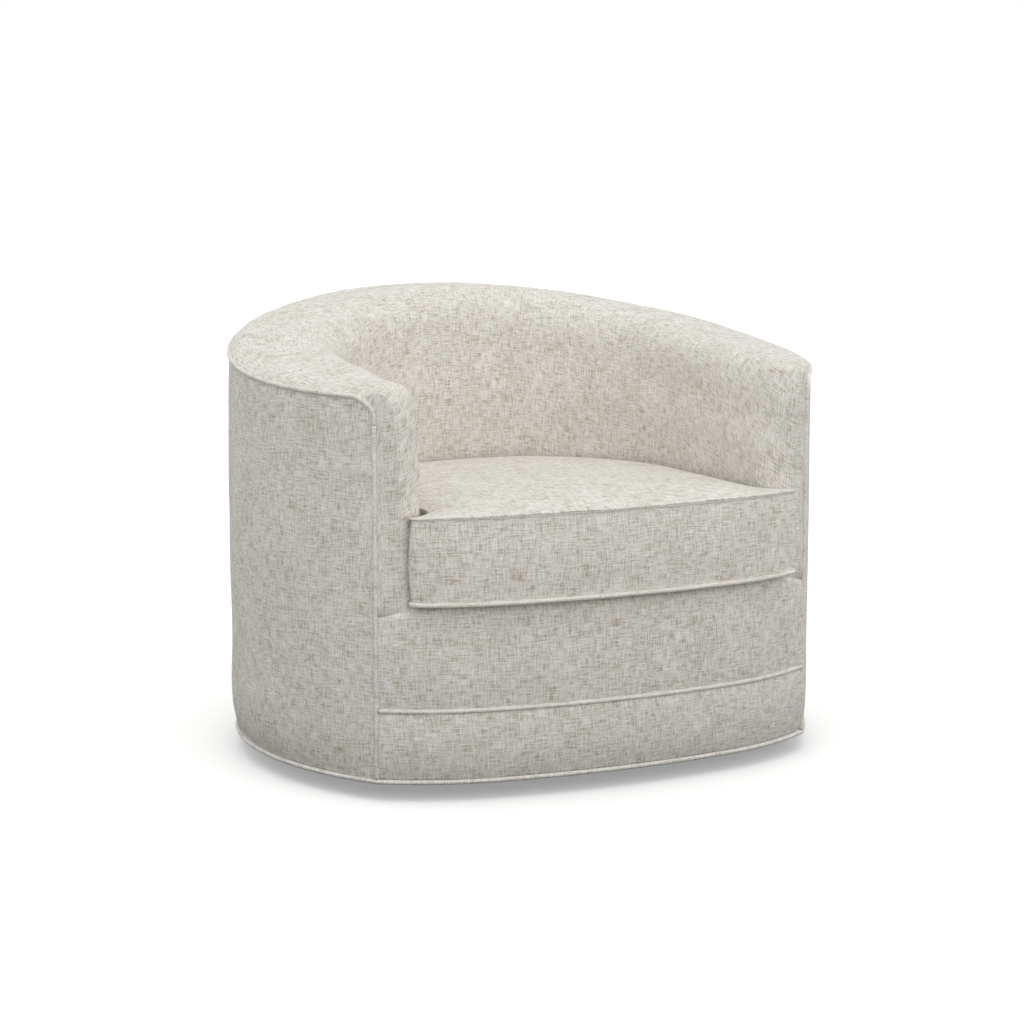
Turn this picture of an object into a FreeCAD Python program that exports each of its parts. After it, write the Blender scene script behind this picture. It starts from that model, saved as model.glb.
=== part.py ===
# Upholstered barrel swivel chair with a loose T cushion on a hidden round base.
# Millimetres, +Z up, origin on the floor under the swivel axis, front towards -Y.
import FreeCAD, Part
import math
import os
import re
import Sketcher

V = FreeCAD.Vector
doc = FreeCAD.newDocument("swivel_chair")

# Driving dimensions, a cell of the sheet for each
SIZES = {
    # clearances
    "fit_gap": 0.3, "screw_gap": 0.1, "bearing_gap": 0.05, "lay_gap": 0.1,
    # floor base
    "glide_height": 5.0, "glide_radius": 18.0, "glide_circle": 215.0, "glide_count": 6,
    "base_radius": 250.0, "base_thickness": 18.0, "base_edge_round": 3.0,
    # ball bearing
    "plate_radius": 150.0, "plate_bore": 60.0, "plate_thickness": 4.0, "plate_space": 4.0,
    "track_radius": 125.0, "ball_radius": 4.0, "ball_count": 24,
    "cage_thickness": 2.0, "cage_width": 22.0, "plate_screw_circle": 88.0, "plate_screw_count": 8,
    # king bolt
    "bolt_radius": 6.0, "bolt_head_radius": 13.0, "bolt_head_height": 7.0,
    "bush_wall": 2.0, "washer_radius": 16.0, "washer_thickness": 2.5, "nut_radius": 11.0, "nut_height": 10.0,
    # screws
    "screw_radius": 2.25, "screw_head_radius": 4.5, "screw_head_height": 1.8, "screw_length": 16.0,
    "frame_screw_length": 50.0, "screw_spread": 180.0,
    # outline in plan
    "barrel_radius": 464.0, "barrel_forward": 44.0, "middle_bulge": 7.0, "top_bulge": 4.0,
    "front_forward": 406.0, "front_radius": 1300.0, "front_flat_half": 200.0, "shoulder_radius": 430.0,
    "arm_thickness": 184.0, "inner_lean": 16.0, "inner_shift": 10.0,
    # levels
    "board_thickness": 18.0, "base_welt_height": 30.0, "band_welt_height": 139.0,
    "border_height": 283.0, "border_rise": 15.0, "deck_height": 298.7,
    "arm_height": 630.0, "back_height": 713.5, "swoop_power": 1.1, "bulge_height": 250.0,
    # upholstery
    "welt_radius": 3.5, "roll_rise": 18.0, "roll_outer_width": 40.0, "roll_inner_width": 40.0,
    "roll_inner_drop": 90.0, "top_pad": 40.0, "inner_pad": 45.0, "cover_thickness": 8.0,
    "band_pad": 22.0, "border_round": 18.0, "deck_pad_thickness": 38.0, "deck_cloth_thickness": 2.0,
    "felt_thickness": 5.0, "dust_cloth_thickness": 0.8, "dust_cloth_hole": 165.0,
    "staple_count": 25, "staple_inset": 12.0, "staple_length": 10.0, "staple_wire": 0.8,
    "arm_nose_round": 45.0, "arm_nose_lead": 21.0, "arm_top_round": 30.0,
    # frame
    "top_board_thickness": 20.0, "backing_thickness": 4.0, "inner_backing_thickness": 5.0, "backing_gap": 1.5,
    "rail_thickness": 24.0, "side_rail_height": 60.0, "post_width": 40.0, "post_depth": 30.0,
    "rear_post_angle": 24.0, "side_post_angle": 50.0, "arm_post_angle": 96.0,
    "front_post_setback": 68.0, "block_side": 55.0, "back_rail_setback": 65.0,
    # springs
    "spring_wire": 1.9, "spring_pitch": 22.0, "spring_width": 36.0, "spring_count": 5,
    "spring_spread": 66.0, "clip_cover": 1.2, "clip_width": 10.0, "clip_length": 14.0,
    # cushion
    "cushion_lead": 18.0, "cushion_front_radius": 1500.0, "cushion_flat_half": 190.0,
    "ear_reach": 44.0, "ear_lead": 23.0, "ear_softness": 1.4, "cushion_side_gap": 1.5,
    "cushion_bottom": 299.0, "cushion_low_welt": 304.5, "cushion_high_welt": 434.0,
    "cushion_crown": 457.0, "boxing_draw": 5.0, "fabric_thickness": 2.0,
    # zip
    "zip_width": 24.0, "zip_thickness": 1.2, "zip_angle": 48.0, "slider_height": 9.0,
    "slider_width": 8.0, "slider_depth": 3.0, "stop_width": 3.0,
}

# Levels and places that follow from the driving dimensions
PLACES = {
    "inner_half": "barrel_radius - arm_thickness",
    "inner_half_top": "inner_half + inner_lean",
    "inner_forward": "barrel_forward + inner_shift",
    "cushion_front": "front_forward + cushion_lead",
    "ear_round": "boxing_draw + fabric_thickness + ear_softness",
    "back_rail_place": "inner_half - inner_forward - back_rail_setback",
    "disc_top": "glide_height + base_thickness",
    "lower_plate_top": "disc_top + plate_thickness",
    "ball_level": "lower_plate_top + plate_space / 2",
    "upper_plate_bottom": "lower_plate_top + plate_space",
    "board_bottom": "upper_plate_bottom + plate_thickness",
    "board_top": "board_bottom + board_thickness",
    "bush_radius": "bolt_radius + bush_wall",
    "washer_bottom": "board_top + fit_gap",
    "nut_bottom": "washer_bottom + washer_thickness",
    "bolt_bottom": "glide_height + fit_gap",
    "bolt_head_top": "bolt_bottom + bolt_head_height",
    "bolt_top": "nut_bottom + nut_height + washer_thickness",
    "cloth_bottom": "deck_height - deck_cloth_thickness",
    "deck_pad_bottom": "cloth_bottom - lay_gap - deck_pad_thickness",
    "felt_bottom": "deck_pad_bottom - lay_gap - felt_thickness",
    "spring_level": "felt_bottom - lay_gap - clip_cover - spring_wire",
    "rail_top": "spring_level - spring_wire - lay_gap",
    "side_rail_bottom": "rail_top - side_rail_height",
    "cage_bottom": "ball_level - cage_thickness / 2",
    "cage_inner": "track_radius - cage_width / 2",
    "cage_outer": "track_radius + cage_width / 2",
}


def prefixed(text):
    """Write a formula's words as cells of the two sheets."""
    def cell(match):
        word = match.group()
        if word in SIZES:
            return "Sizes." + word
        return "Places." + word if word in PLACES else word
    return re.sub(r"[a-z_]+", cell, text)


sizes_sheet = doc.addObject("Spreadsheet::Sheet", "Sizes")
for row, (name, value) in enumerate(SIZES.items(), 1):
    sizes_sheet.set(f"A{row}", name)
    sizes_sheet.set(f"B{row}", str(value))
    sizes_sheet.setAlias(f"B{row}", name)
doc.recompute()
places_sheet = doc.addObject("Spreadsheet::Sheet", "Places")
for row, (name, formula) in enumerate(PLACES.items(), 1):
    places_sheet.set(f"A{row}", name)
    places_sheet.setAlias(f"B{row}", name)
for row, (name, formula) in enumerate(PLACES.items(), 1):
    places_sheet.set(f"B{row}", "=" + prefixed(formula).replace("Places.", ""))
doc.recompute()


class Cells:
    """The numbers of both sheets, by name."""


s = Cells()
for name in SIZES:
    setattr(s, name, float(sizes_sheet.get(name)))
for name in PLACES:
    setattr(s, name, float(places_sheet.get(name)))

subparts = []


def keep(thing, label):
    """Name a finished sub-part and put it on the list of files."""
    thing.Label = label
    subparts.append(thing)
    return thing


def bind(thing, formulas):
    for prop, formula in formulas.items():
        thing.setExpression(prop, prefixed(formula))
    return thing


def cylinder(name, radius, height, bottom, x="0", y="0"):
    return bind(doc.addObject("Part::Cylinder", name), {
        "Radius": radius, "Height": height, "Placement.Base.x": x, "Placement.Base.y": y,
        "Placement.Base.z": bottom})


def torus(name, ring, tube, level):
    return bind(doc.addObject("Part::Torus", name), {
        "Radius1": ring, "Radius2": tube, "Placement.Base.z": level})


def cut(name, base, tool):
    result = doc.addObject("Part::Cut", name)
    result.Base = base
    result.Tool = tool
    return result


def fuse(name, pieces):
    result = doc.addObject("Part::MultiFuse", name)
    result.Shapes = pieces
    return result


def on_circle(circle, count, index, turn="0"):
    """Formulas of the place of one of a ring of copies."""
    angle = f"({turn} + 360 * {index} / {count}) * 1deg"
    return f"{circle} * cos({angle})", f"{circle} * sin({angle})"


def ring_of(name, radius, height, bottom, circle, count, turn="0"):
    """A ring of equal cylinders, as a list."""
    pieces = []
    for index in range(int(getattr(s, count))):
        x, y = on_circle(circle, count, index, turn)
        pieces.append(cylinder(f"{name}_{index}", radius, height, bottom, x, y))
    return pieces


def computed(label, shape):
    """A sub-part whose form neither a body nor a primitive can hold."""
    thing = doc.addObject("Part::Feature", label)
    thing.Shape = shape
    thing.Placement = shape.Placement
    return keep(thing, label)


# Floor glides: nylon discs, each with a screw whose head is sunk in it
def glides():
    discs = fuse("glide_discs", ring_of("glide", "glide_radius", "glide_height", "0", "glide_circle",
                                        "glide_count"))
    heads = ring_of("glide_head_hole", "screw_head_radius + screw_gap", "2 * screw_head_height", "0",
                    "glide_circle", "glide_count")
    shanks = ring_of("glide_hole", "screw_radius + screw_gap", "glide_height", "0", "glide_circle",
                     "glide_count")
    keep(cut("glides_bored", discs, fuse("glide_bores", heads + shanks)), "floor_glides")
    heads = ring_of("glide_screw_head", "screw_head_radius", "screw_head_height", "screw_head_height",
                    "glide_circle", "glide_count")
    shanks = ring_of("glide_screw", "screw_radius", "screw_length", "screw_head_height", "glide_circle",
                     "glide_count")
    keep(fuse("glide_screws_joined", heads + shanks), "glide_screws")


def origin_plane(body, role):
    for feature in body.Origin.OriginFeatures:
        if feature.Role == role:
            return feature
    return None


def sketch_on(body, name, level):
    sketch = body.newObject("Sketcher::SketchObject", name)
    sketch.AttachmentSupport = (origin_plane(body, "XY_Plane"), [""])
    sketch.MapMode = "FlatFace"
    bind(sketch, {"AttachmentOffset.Base.z": level})
    return sketch


def sketch_circle(sketch, radius, start, distance=None):
    """A circle on the sketch's origin, or on its X axis at a distance."""
    centre = V(start, 0, 0) if distance else V(0, 0, 0)
    index = sketch.addGeometry(Part.Circle(centre, V(0, 0, 1), s.bolt_radius))
    number = sketch.addConstraint(Sketcher.Constraint("Radius", index, s.bolt_radius))
    sketch.setExpression(f"Constraints[{number}]", prefixed(radius))
    if distance is None:
        sketch.addConstraint(Sketcher.Constraint("Coincident", index, 3, -1, 1))
        return
    sketch.addConstraint(Sketcher.Constraint("PointOnObject", index, 3, -1))
    number = sketch.addConstraint(Sketcher.Constraint("DistanceX", -1, 1, index, 3, start))
    sketch.setExpression(f"Constraints[{number}]", prefixed(distance))


def pad(body, name, sketch, height):
    feature = body.newObject("PartDesign::Pad", name)
    feature.Profile = sketch
    sketch.Visibility = False
    return bind(feature, {"Length": height})


def pocket_ring(body, name, radius, level, depth, circle, count):
    """Blind holes from a level downwards, repeated round the axis."""
    sketch = sketch_on(body, name + "_sketch", level)
    sketch_circle(sketch, radius, getattr(s, circle), circle)
    pocket = body.newObject("PartDesign::Pocket", name)
    pocket.Profile = sketch
    bind(pocket, {"Length": depth})
    doc.recompute()
    pattern = body.newObject("PartDesign::PolarPattern", name + "_pattern")
    pattern.Originals = [pocket]
    pattern.Axis = (sketch, ["N_Axis"])
    pattern.Angle = 360
    bind(pattern, {"Occurrences": count})
    body.Tip = pattern
    doc.recompute()


def base_disc():
    body = doc.addObject("PartDesign::Body", "base_disc_body")
    outline = sketch_on(body, "disc_outline", "glide_height")
    sketch_circle(outline, "base_radius", 0)
    sketch_circle(outline, "bolt_radius + screw_gap", 0)
    disc = pad(body, "disc_pad", outline, "base_thickness")
    doc.recompute()
    rims = [f"Edge{number}" for number, edge in enumerate(disc.Shape.Edges, 1)
            if edge.Length > 4 * s.base_radius]
    rounding = body.newObject("PartDesign::Fillet", "disc_rounding")
    rounding.Base = (disc, rims)
    bind(rounding, {"Radius": "base_edge_round"})
    doc.recompute()
    recess = sketch_on(body, "head_recess_sketch", "bolt_head_top + fit_gap")
    sketch_circle(recess, "bolt_head_radius + fit_gap", 0)
    pocket = body.newObject("PartDesign::Pocket", "head_recess")
    pocket.Profile = recess
    bind(pocket, {"Length": "bolt_head_top + fit_gap"})
    doc.recompute()
    pocket_ring(body, "glide_screw_hole", "screw_radius + screw_gap",
                "screw_head_height + screw_length + fit_gap", "screw_head_height + screw_length",
                "glide_circle", "glide_count")
    pocket_ring(body, "plate_screw_hole", "screw_radius + screw_gap", "disc_top", "screw_length",
                "plate_screw_circle", "plate_screw_count")
    keep(body, "base_disc")


def bearing_plate(name, bottom, head_level):
    """A steel ring with a ball track and counterbored screw holes."""
    ring = cut(name + "_ring", cylinder(name + "_disc", "plate_radius", "plate_thickness", bottom),
               cylinder(name + "_hole", "plate_bore", "plate_thickness", bottom))
    tracked = cut(name + "_tracked", ring,
                  torus(name + "_track", "track_radius", "ball_radius + bearing_gap", "ball_level"))
    shanks = ring_of(name + "_bore", "screw_radius + screw_gap", "plate_thickness", bottom,
                     "plate_screw_circle", "plate_screw_count")
    heads = ring_of(name + "_sink", "screw_head_radius + screw_gap", "screw_head_height + screw_gap",
                    head_level, "plate_screw_circle", "plate_screw_count")
    keep(cut(name + "_bored", tracked, fuse(name + "_bores", shanks + heads)), name)


def plate_screws(label, head_bottom, shank_bottom):
    heads = ring_of(label + "_head", "screw_head_radius", "screw_head_height", head_bottom,
                    "plate_screw_circle", "plate_screw_count")
    shanks = ring_of(label + "_shank", "screw_radius", "screw_length", shank_bottom,
                     "plate_screw_circle", "plate_screw_count")
    keep(fuse(label + "_joined", heads + shanks), label)


def bearing():
    bearing_plate("lower_bearing_plate", "disc_top",
                  "lower_plate_top - screw_head_height - screw_gap")
    plate_screws("lower_plate_screws", "lower_plate_top - screw_head_height",
                 "lower_plate_top - screw_length")
    bearing_plate("upper_bearing_plate", "upper_plate_bottom", "upper_plate_bottom")
    plate_screws("upper_plate_screws", "upper_plate_bottom", "upper_plate_bottom")
    ring = cut("cage_ring", cylinder("cage_disc", "cage_outer", "cage_thickness", "cage_bottom"),
               cylinder("cage_hole", "cage_inner", "cage_thickness", "cage_bottom"))
    pockets = ring_of("cage_pocket", "ball_radius + screw_gap", "cage_thickness", "cage_bottom",
                      "track_radius", "ball_count")
    keep(cut("cage_bored", ring, fuse("cage_pockets", pockets)), "ball_cage")
    balls = []
    for index in range(int(s.ball_count)):
        x, y = on_circle("track_radius", "ball_count", index)
        balls.append(bind(doc.addObject("Part::Sphere", f"ball_{index}"), {
            "Radius": "ball_radius", "Placement.Base.x": x, "Placement.Base.y": y,
            "Placement.Base.z": "ball_level"}))
    keep(fuse("balls_joined", balls), "bearing_balls")


def king_pin():
    """Carriage bolt up through the disc and the board, with a bush, a washer and a lock nut."""
    head = cylinder("bolt_head", "bolt_head_radius", "bolt_head_height", "bolt_bottom")
    shank = cylinder("bolt_shank", "bolt_radius", "bolt_top - bolt_bottom", "bolt_bottom")
    keep(fuse("bolt_joined", [head, shank]), "king_bolt")
    washer = cylinder("washer_disc", "washer_radius", "washer_thickness", "washer_bottom")
    keep(cut("washer_bored", washer, cylinder("washer_hole", "bolt_radius + bearing_gap",
                                              "washer_thickness", "washer_bottom")), "king_washer")
    blank = bind(doc.addObject("Part::Prism", "nut_blank"), {
        "Circumradius": "nut_radius", "Height": "nut_height", "Placement.Base.z": "nut_bottom"})
    keep(cut("nut_bored", blank, cylinder("nut_hole", "bolt_radius + bearing_gap", "nut_height",
                                          "nut_bottom")), "king_nut")
    tube = cylinder("bush_tube", "bush_radius", "board_thickness", "board_bottom")
    keep(cut("bush_bored", tube, cylinder("bush_hole", "bolt_radius + bearing_gap", "board_thickness",
                                          "board_bottom")), "king_bush")


glides()
base_disc()
bearing()
king_pin()


# Plan of the front: a flat centre arc with a tighter arc towards each corner
front_turn = math.asin(s.front_flat_half / s.front_radius)
front_centre = V(0, s.front_radius - s.front_forward, 0)
shoulder_centre = front_centre + V(math.sin(front_turn), -math.cos(front_turn), 0) * (
    s.front_radius - s.shoulder_radius)
barrel_centre = V(0, -s.barrel_forward, 0)


def corner_turn(front_inset, barrel_inset):
    """Angle on the shoulder arc, from straight ahead, where it meets the barrel's circle."""
    shoulder_radius, barrel_radius = s.shoulder_radius - front_inset, s.barrel_radius - barrel_inset
    reach = shoulder_centre - barrel_centre
    apart = reach.Length
    along = (barrel_radius ** 2 - shoulder_radius ** 2 + apart ** 2) / (2 * apart)
    half_chord = math.sqrt(barrel_radius ** 2 - along ** 2)
    line = V(reach).normalize()
    side = V(line.y, -line.x, 0)
    meeting = barrel_centre + line * along + side * half_chord
    if meeting.y > barrel_centre.y:
        meeting = barrel_centre + line * along - side * half_chord
    return math.asin((meeting.x - shoulder_centre.x) / shoulder_radius)


corner_angle = corner_turn(0, 0)
corner = shoulder_centre + V(math.sin(corner_angle), -math.cos(corner_angle), 0) * s.shoulder_radius
barrel_end = math.atan2(corner.x, corner.y - barrel_centre.y)
welt_room = s.welt_radius + s.lay_gap
nose_forward = s.arm_nose_lead - corner.y


class Frame:
    """A vertical section plane: a point of the outer surface in plan and the way out of it."""

    def __init__(self, origin, outward, share, angle):
        self.origin = origin
        self.outward = outward
        self.share = share
        self.angle = angle

    def spot(self, point):
        return self.origin + self.outward * point[0] + V(0, 0, point[1])


def barrel_frame(angle):
    outward = V(math.sin(angle), math.cos(angle), 0)
    return Frame(barrel_centre + outward * s.barrel_radius, outward, angle / barrel_end, angle)


def front_frame(share, trim):
    """A plane across the front, from one corner at -1 to the other at 1."""
    flat = s.front_radius * front_turn
    length = abs(share) * (flat + s.shoulder_radius * (corner_angle - front_turn) - trim)
    if length <= flat:
        centre, radius, angle = front_centre, s.front_radius, length / s.front_radius
    else:
        centre, radius = shoulder_centre, s.shoulder_radius
        angle = front_turn + (length - flat) / s.shoulder_radius
    point = centre + V(math.sin(angle), -math.cos(angle), 0) * radius
    outward = V(math.sin(angle), -math.cos(angle), 0)
    if share < 0:
        point.x, outward.x = -point.x, -outward.x
    return Frame(point, outward, share, angle)


BARREL_STATIONS = 33
FRONT_STATIONS = 21


def barrel_frames(trim=0.0):
    end = barrel_end - trim / s.barrel_radius
    middle = (BARREL_STATIONS - 1) / 2
    return [barrel_frame(end * (number - middle) / middle) for number in range(BARREL_STATIONS)]


def front_frames(trim=0.0):
    middle = (FRONT_STATIONS - 1) / 2
    return [front_frame((number - middle) / middle, trim) for number in range(FRONT_STATIONS)]


def section(frame, path):
    """A closed wire through a path's points; a pair of points is an arc's middle and end."""
    edges = []
    start = frame.spot(path[0])
    for step in path[1:] + [path[0]]:
        if isinstance(step[0], tuple):
            middle, end = frame.spot(step[0]), frame.spot(step[1])
            edges.append(Part.Arc(start, middle, end).toShape())
        else:
            end = frame.spot(step)
            edges.append(Part.LineSegment(start, end).toShape())
        start = end
    return Part.Wire(edges)


def lofted(frames, profile, straight=False):
    return Part.makeLoft([section(frame, profile(frame)) for frame in frames], True, straight)


def round_section(frame, radius, point):
    """A circle of one edge round a point of the section plane."""
    side = V(-frame.outward.y, frame.outward.x, 0)
    return Part.Wire([Part.Circle(frame.spot(point), side, radius).toShape()])


# Heights and radii of the wall, by section
def crest(frame):
    swoop = (1 + math.cos(math.pi * frame.share)) / 2
    return s.arm_height + (s.back_height - s.arm_height) * swoop ** s.swoop_power


def welt_level(frame):
    return crest(frame) - s.roll_rise


def fullness(frame):
    """How far the wall swells: all of it at the back, none at the corners."""
    return 1 - abs(frame.share) ** 8


def inner_place(frame, half):
    """Place, from the outer surface, of an inner U with straight arms and a round back."""
    sine, cosine = abs(math.sin(frame.angle)), math.cos(frame.angle)
    shift = s.inner_forward - s.barrel_forward
    radius = -shift * cosine + math.sqrt((shift * cosine) ** 2 - shift ** 2 + half ** 2)
    if radius * cosine < -shift:
        radius = half / sine
    return radius - s.barrel_radius


def roll_foot(frame):
    return crest(frame) - s.roll_inner_drop


def board_level(frame):
    return crest(frame) - s.top_pad


hollow_outer = -(s.cover_thickness + s.backing_thickness + s.fit_gap)


def pad_profile(frame):
    """Inner pad, roll over the top and lip over the outside cover, as one bent pad."""
    seat, top = inner_place(frame, s.inner_half), inner_place(frame, s.inner_half_top)
    outer = s.top_bulge * fullness(frame) - welt_room
    widen = -top / (s.barrel_radius - s.inner_half_top)
    crown, lip, under = crest(frame), welt_level(frame), board_level(frame)
    foot = roll_foot(frame)
    outer_width, inner_width = s.roll_outer_width * widen, s.roll_inner_width * widen
    half_turn = math.sqrt(2) / 2
    return [
        (outer, lip),
        ((outer - outer_width * (1 - half_turn), lip + s.roll_rise * half_turn),
         (outer - outer_width, crown)),
        (top + inner_width, crown),
        ((top + inner_width * (1 - half_turn), foot + s.roll_inner_drop * half_turn), (top, foot)),
        (seat, s.rail_top + s.lay_gap),
        (seat + s.inner_pad, s.rail_top + s.lay_gap),
        (top + s.inner_pad, under),
        (hollow_outer, under),
        (hollow_outer, lip - s.welt_radius),
        (outer, lip - s.welt_radius)]


def board_profile(frame):
    """Flat board under the roll."""
    inner = inner_place(frame, s.inner_half_top) + s.inner_pad + s.fit_gap
    top = board_level(frame) - s.lay_gap
    return [(inner, top), (hollow_outer, top), (hollow_outer, top - s.top_board_thickness),
            (inner, top - s.top_board_thickness)]


def inner_backing_profile(frame):
    low = inner_place(frame, s.inner_half) + s.inner_pad + s.backing_gap
    high = inner_place(frame, s.inner_half_top) + s.inner_pad + s.backing_gap
    top = board_level(frame) - s.top_board_thickness - 2 * s.lay_gap
    bottom = s.rail_top + s.lay_gap
    return [(low, bottom), (low + s.inner_backing_thickness, bottom),
            (high + s.inner_backing_thickness, top), (high, top)]


def backing_profile(frame):
    top = welt_level(frame) - s.welt_radius - s.lay_gap
    outer = -s.cover_thickness - s.lay_gap
    return [(outer, s.board_bottom), (outer, top), (outer - s.backing_thickness, top),
            (outer - s.backing_thickness, s.board_bottom)]


def cover_profile(frame):
    full = fullness(frame)
    bottom = s.base_welt_height + welt_room
    top = welt_level(frame) - welt_room
    return [(0, bottom), ((s.middle_bulge * full, s.bulge_height), (s.top_bulge * full, top)),
            (-s.cover_thickness, top), (-s.cover_thickness, bottom)]


def wall():
    computed("barrel_pad", lofted(barrel_frames(welt_room), pad_profile))
    computed("top_board", lofted(barrel_frames(welt_room), board_profile))
    computed("inner_backing", lofted(barrel_frames(welt_room), inner_backing_profile))
    computed("outside_backing", lofted(barrel_frames(welt_room), backing_profile))
    computed("outside_cover", lofted(barrel_frames(welt_room), cover_profile))
    circles = [round_section(frame, s.welt_radius, (s.top_bulge * fullness(frame), welt_level(frame)))
               for frame in barrel_frames(welt_room)]
    computed("top_welt", Part.makeLoft(circles, True, False))


def post_profile(frame):
    top = board_level(frame) - s.top_board_thickness - 2 * s.lay_gap - s.fit_gap
    return [(hollow_outer, s.board_top), (hollow_outer, top), (hollow_outer - s.post_depth, top),
            (hollow_outer - s.post_depth, s.board_top)]


def posts(label, angles):
    half = s.post_width / 2 / s.barrel_radius
    solids = []
    for angle in angles:
        for side in (-1, 1):
            middle = side * math.radians(angle)
            frames = [barrel_frame(middle - half), barrel_frame(middle + half)]
            solids.append(lofted(frames, post_profile, True))
    computed(label, Part.makeCompound(solids))


wall()
posts("front_posts", [math.degrees(barrel_end - s.front_post_setback / s.barrel_radius)])
posts("side_posts", [s.arm_post_angle, s.side_post_angle])
posts("back_posts", [s.rear_post_angle])


def band_profile(thickness, bottom, top):
    return lambda frame: [(0, bottom), (0, top), (-thickness, top), (-thickness, bottom)]


RISE_SPAN_SHARE = 0.7


def border_profile(frame):
    """Upper band, its top edge rounded and rising towards the middle under the cushion."""
    reach = min(1.0, abs(frame.share) / RISE_SPAN_SHARE)
    top = s.border_height + s.border_rise * (1 + math.cos(math.pi * reach)) / 2
    bottom = s.band_welt_height + welt_room
    turn = s.border_round * (1 - math.sqrt(2) / 2)
    return [(0, bottom), (0, top - s.border_round), ((-turn, top - turn), (-s.border_round, top)),
            (-s.band_pad, top), (-s.band_pad, bottom)]


def rail_profile(frame):
    outer = -s.band_pad - s.fit_gap
    inner = outer - s.rail_thickness
    return [(outer, s.board_top), (outer, s.rail_top), (inner, s.rail_top), (inner, s.board_top)]


def front():
    """Both bands, the curved rail behind them, and the welts round them."""
    trimmed = front_frames(welt_room)
    computed("front_border", lofted(trimmed, border_profile))
    low, high = s.base_welt_height + welt_room, s.band_welt_height - welt_room
    computed("lower_band", lofted(trimmed, band_profile(s.band_pad, low, high)))
    rail = lofted(front_frames(s.rail_thickness + s.band_pad), rail_profile)
    computed("front_rail", rail.cut(frame_screw(s.screw_gap)))
    circles = [round_section(frame, s.welt_radius, (0, s.band_welt_height)) for frame in trimmed]
    computed("band_welt", Part.makeLoft(circles, True, False))
    for label, side in (("left_corner_welt", -1), ("right_corner_welt", 1)):
        welt = doc.addObject("Part::Cylinder", label)
        welt.Placement.Base = V(side * corner.x, corner.y, 0)
        bind(welt, {"Radius": "welt_radius", "Placement.Base.z": "base_welt_height + welt_radius + lay_gap",
                    "Height": "arm_height - roll_rise - base_welt_height - welt_radius - lay_gap"})
        keep(welt, label)
    doc.recompute()


def mirrored_edges(runs):
    """Edges of a right half outline and of its mirror image; a run is a start, a middle and an end."""
    edges = []
    for first, middle, last in runs:
        other_first, other_last = V(-first.x, first.y, 0), V(-last.x, last.y, 0)
        if middle is None:
            edges.append(Part.LineSegment(first, last).toShape())
            edges.append(Part.LineSegment(other_first, other_last).toShape())
        else:
            edges.append(Part.Arc(first, middle, last).toShape())
            edges.append(Part.Arc(other_first, V(-middle.x, middle.y, 0), other_last).toShape())
    return edges


def closed(edges):
    return Part.Wire(Part.__sortEdges__(edges))


def on_arc(centre, radius, angle):
    """A point of a plan arc, its angle counted from straight ahead."""
    return centre + V(math.sin(angle), -math.cos(angle), 0) * radius


def chair_outline(front_inset, barrel_inset):
    """The barrel's circle closed by the front curve, each set in by its own thickness."""
    turn = corner_turn(front_inset, barrel_inset)
    joint = on_arc(front_centre, s.front_radius - front_inset, front_turn)
    middle = on_arc(front_centre, s.front_radius - front_inset, 0)
    shoulder = on_arc(shoulder_centre, s.shoulder_radius - front_inset, (front_turn + turn) / 2)
    end = on_arc(shoulder_centre, s.shoulder_radius - front_inset, turn)
    side = barrel_centre + V(s.barrel_radius - barrel_inset, 0, 0)
    back = barrel_centre + V(0, s.barrel_radius - barrel_inset, 0)
    edges = mirrored_edges([(joint, shoulder, end), (end, side, back)])
    edges.append(Part.Arc(V(-joint.x, joint.y, 0), middle, joint).toShape())
    return closed(edges)


def slab(face, bottom, height):
    solid = face.extrude(V(0, 0, height))
    solid.translate(V(0, 0, bottom))
    return solid


def tube_along(wire, radius, level=0.0):
    """A round tube whose middle line is a smooth wire."""
    path = wire.copy()
    path.translate(V(0, 0, level))
    start = path.OrderedEdges[0]
    way = start.tangentAt(start.FirstParameter)
    profile = Part.Wire([Part.Circle(start.valueAt(start.FirstParameter), way, radius).toShape()])
    return path.makePipeShell([profile], True, False)


def base_welt():
    """Welt round the bottom edge: one run along the front and one round the barrel."""
    joint = on_arc(front_centre, s.front_radius, front_turn)
    middle = on_arc(front_centre, s.front_radius, 0)
    shoulder = on_arc(shoulder_centre, s.shoulder_radius, (front_turn + corner_angle) / 2)
    edges = mirrored_edges([(joint, shoulder, corner)])
    edges.append(Part.Arc(V(-joint.x, joint.y, 0), middle, joint).toShape())
    frames = barrel_frames(welt_room)
    back = barrel_centre + V(0, s.barrel_radius, 0)
    around = Part.Arc(frames[0].origin, back, frames[-1].origin).toShape()
    runs = [closed(edges), Part.Wire([around])]
    return Part.makeCompound([tube_along(run, s.welt_radius, s.base_welt_height) for run in runs])


def frame_screw_places():
    """Plan places of the screws that come up through the board into the blocks and the rails."""
    block = rail_outer - s.block_side / 2
    rear = s.back_rail_place + s.rail_thickness / 2
    places = []
    for side in (-1, 1):
        places.append(V(side * block, rail_start + s.block_side * 3 / 2, 0))
        places.append(V(side * block, s.back_rail_place - s.fit_gap - s.block_side / 2, 0))
        places.append(V(side * s.screw_spread, rear, 0))
        places.append(V(side * s.screw_spread,
                        front_place(s.screw_spread, s.band_pad + s.fit_gap + s.rail_thickness / 2), 0))
    return places


def frame_screw(gap):
    """The frame screws, or with a gap the holes that they need."""
    pieces = []
    for place in frame_screw_places():
        foot = place + V(0, 0, s.board_bottom)
        pieces.append(Part.makeCylinder(s.screw_head_radius + gap, s.screw_head_height + gap, foot).fuse(
            Part.makeCylinder(s.screw_radius + gap, s.frame_screw_length + gap, foot)))
    return Part.makeCompound(pieces)


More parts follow.
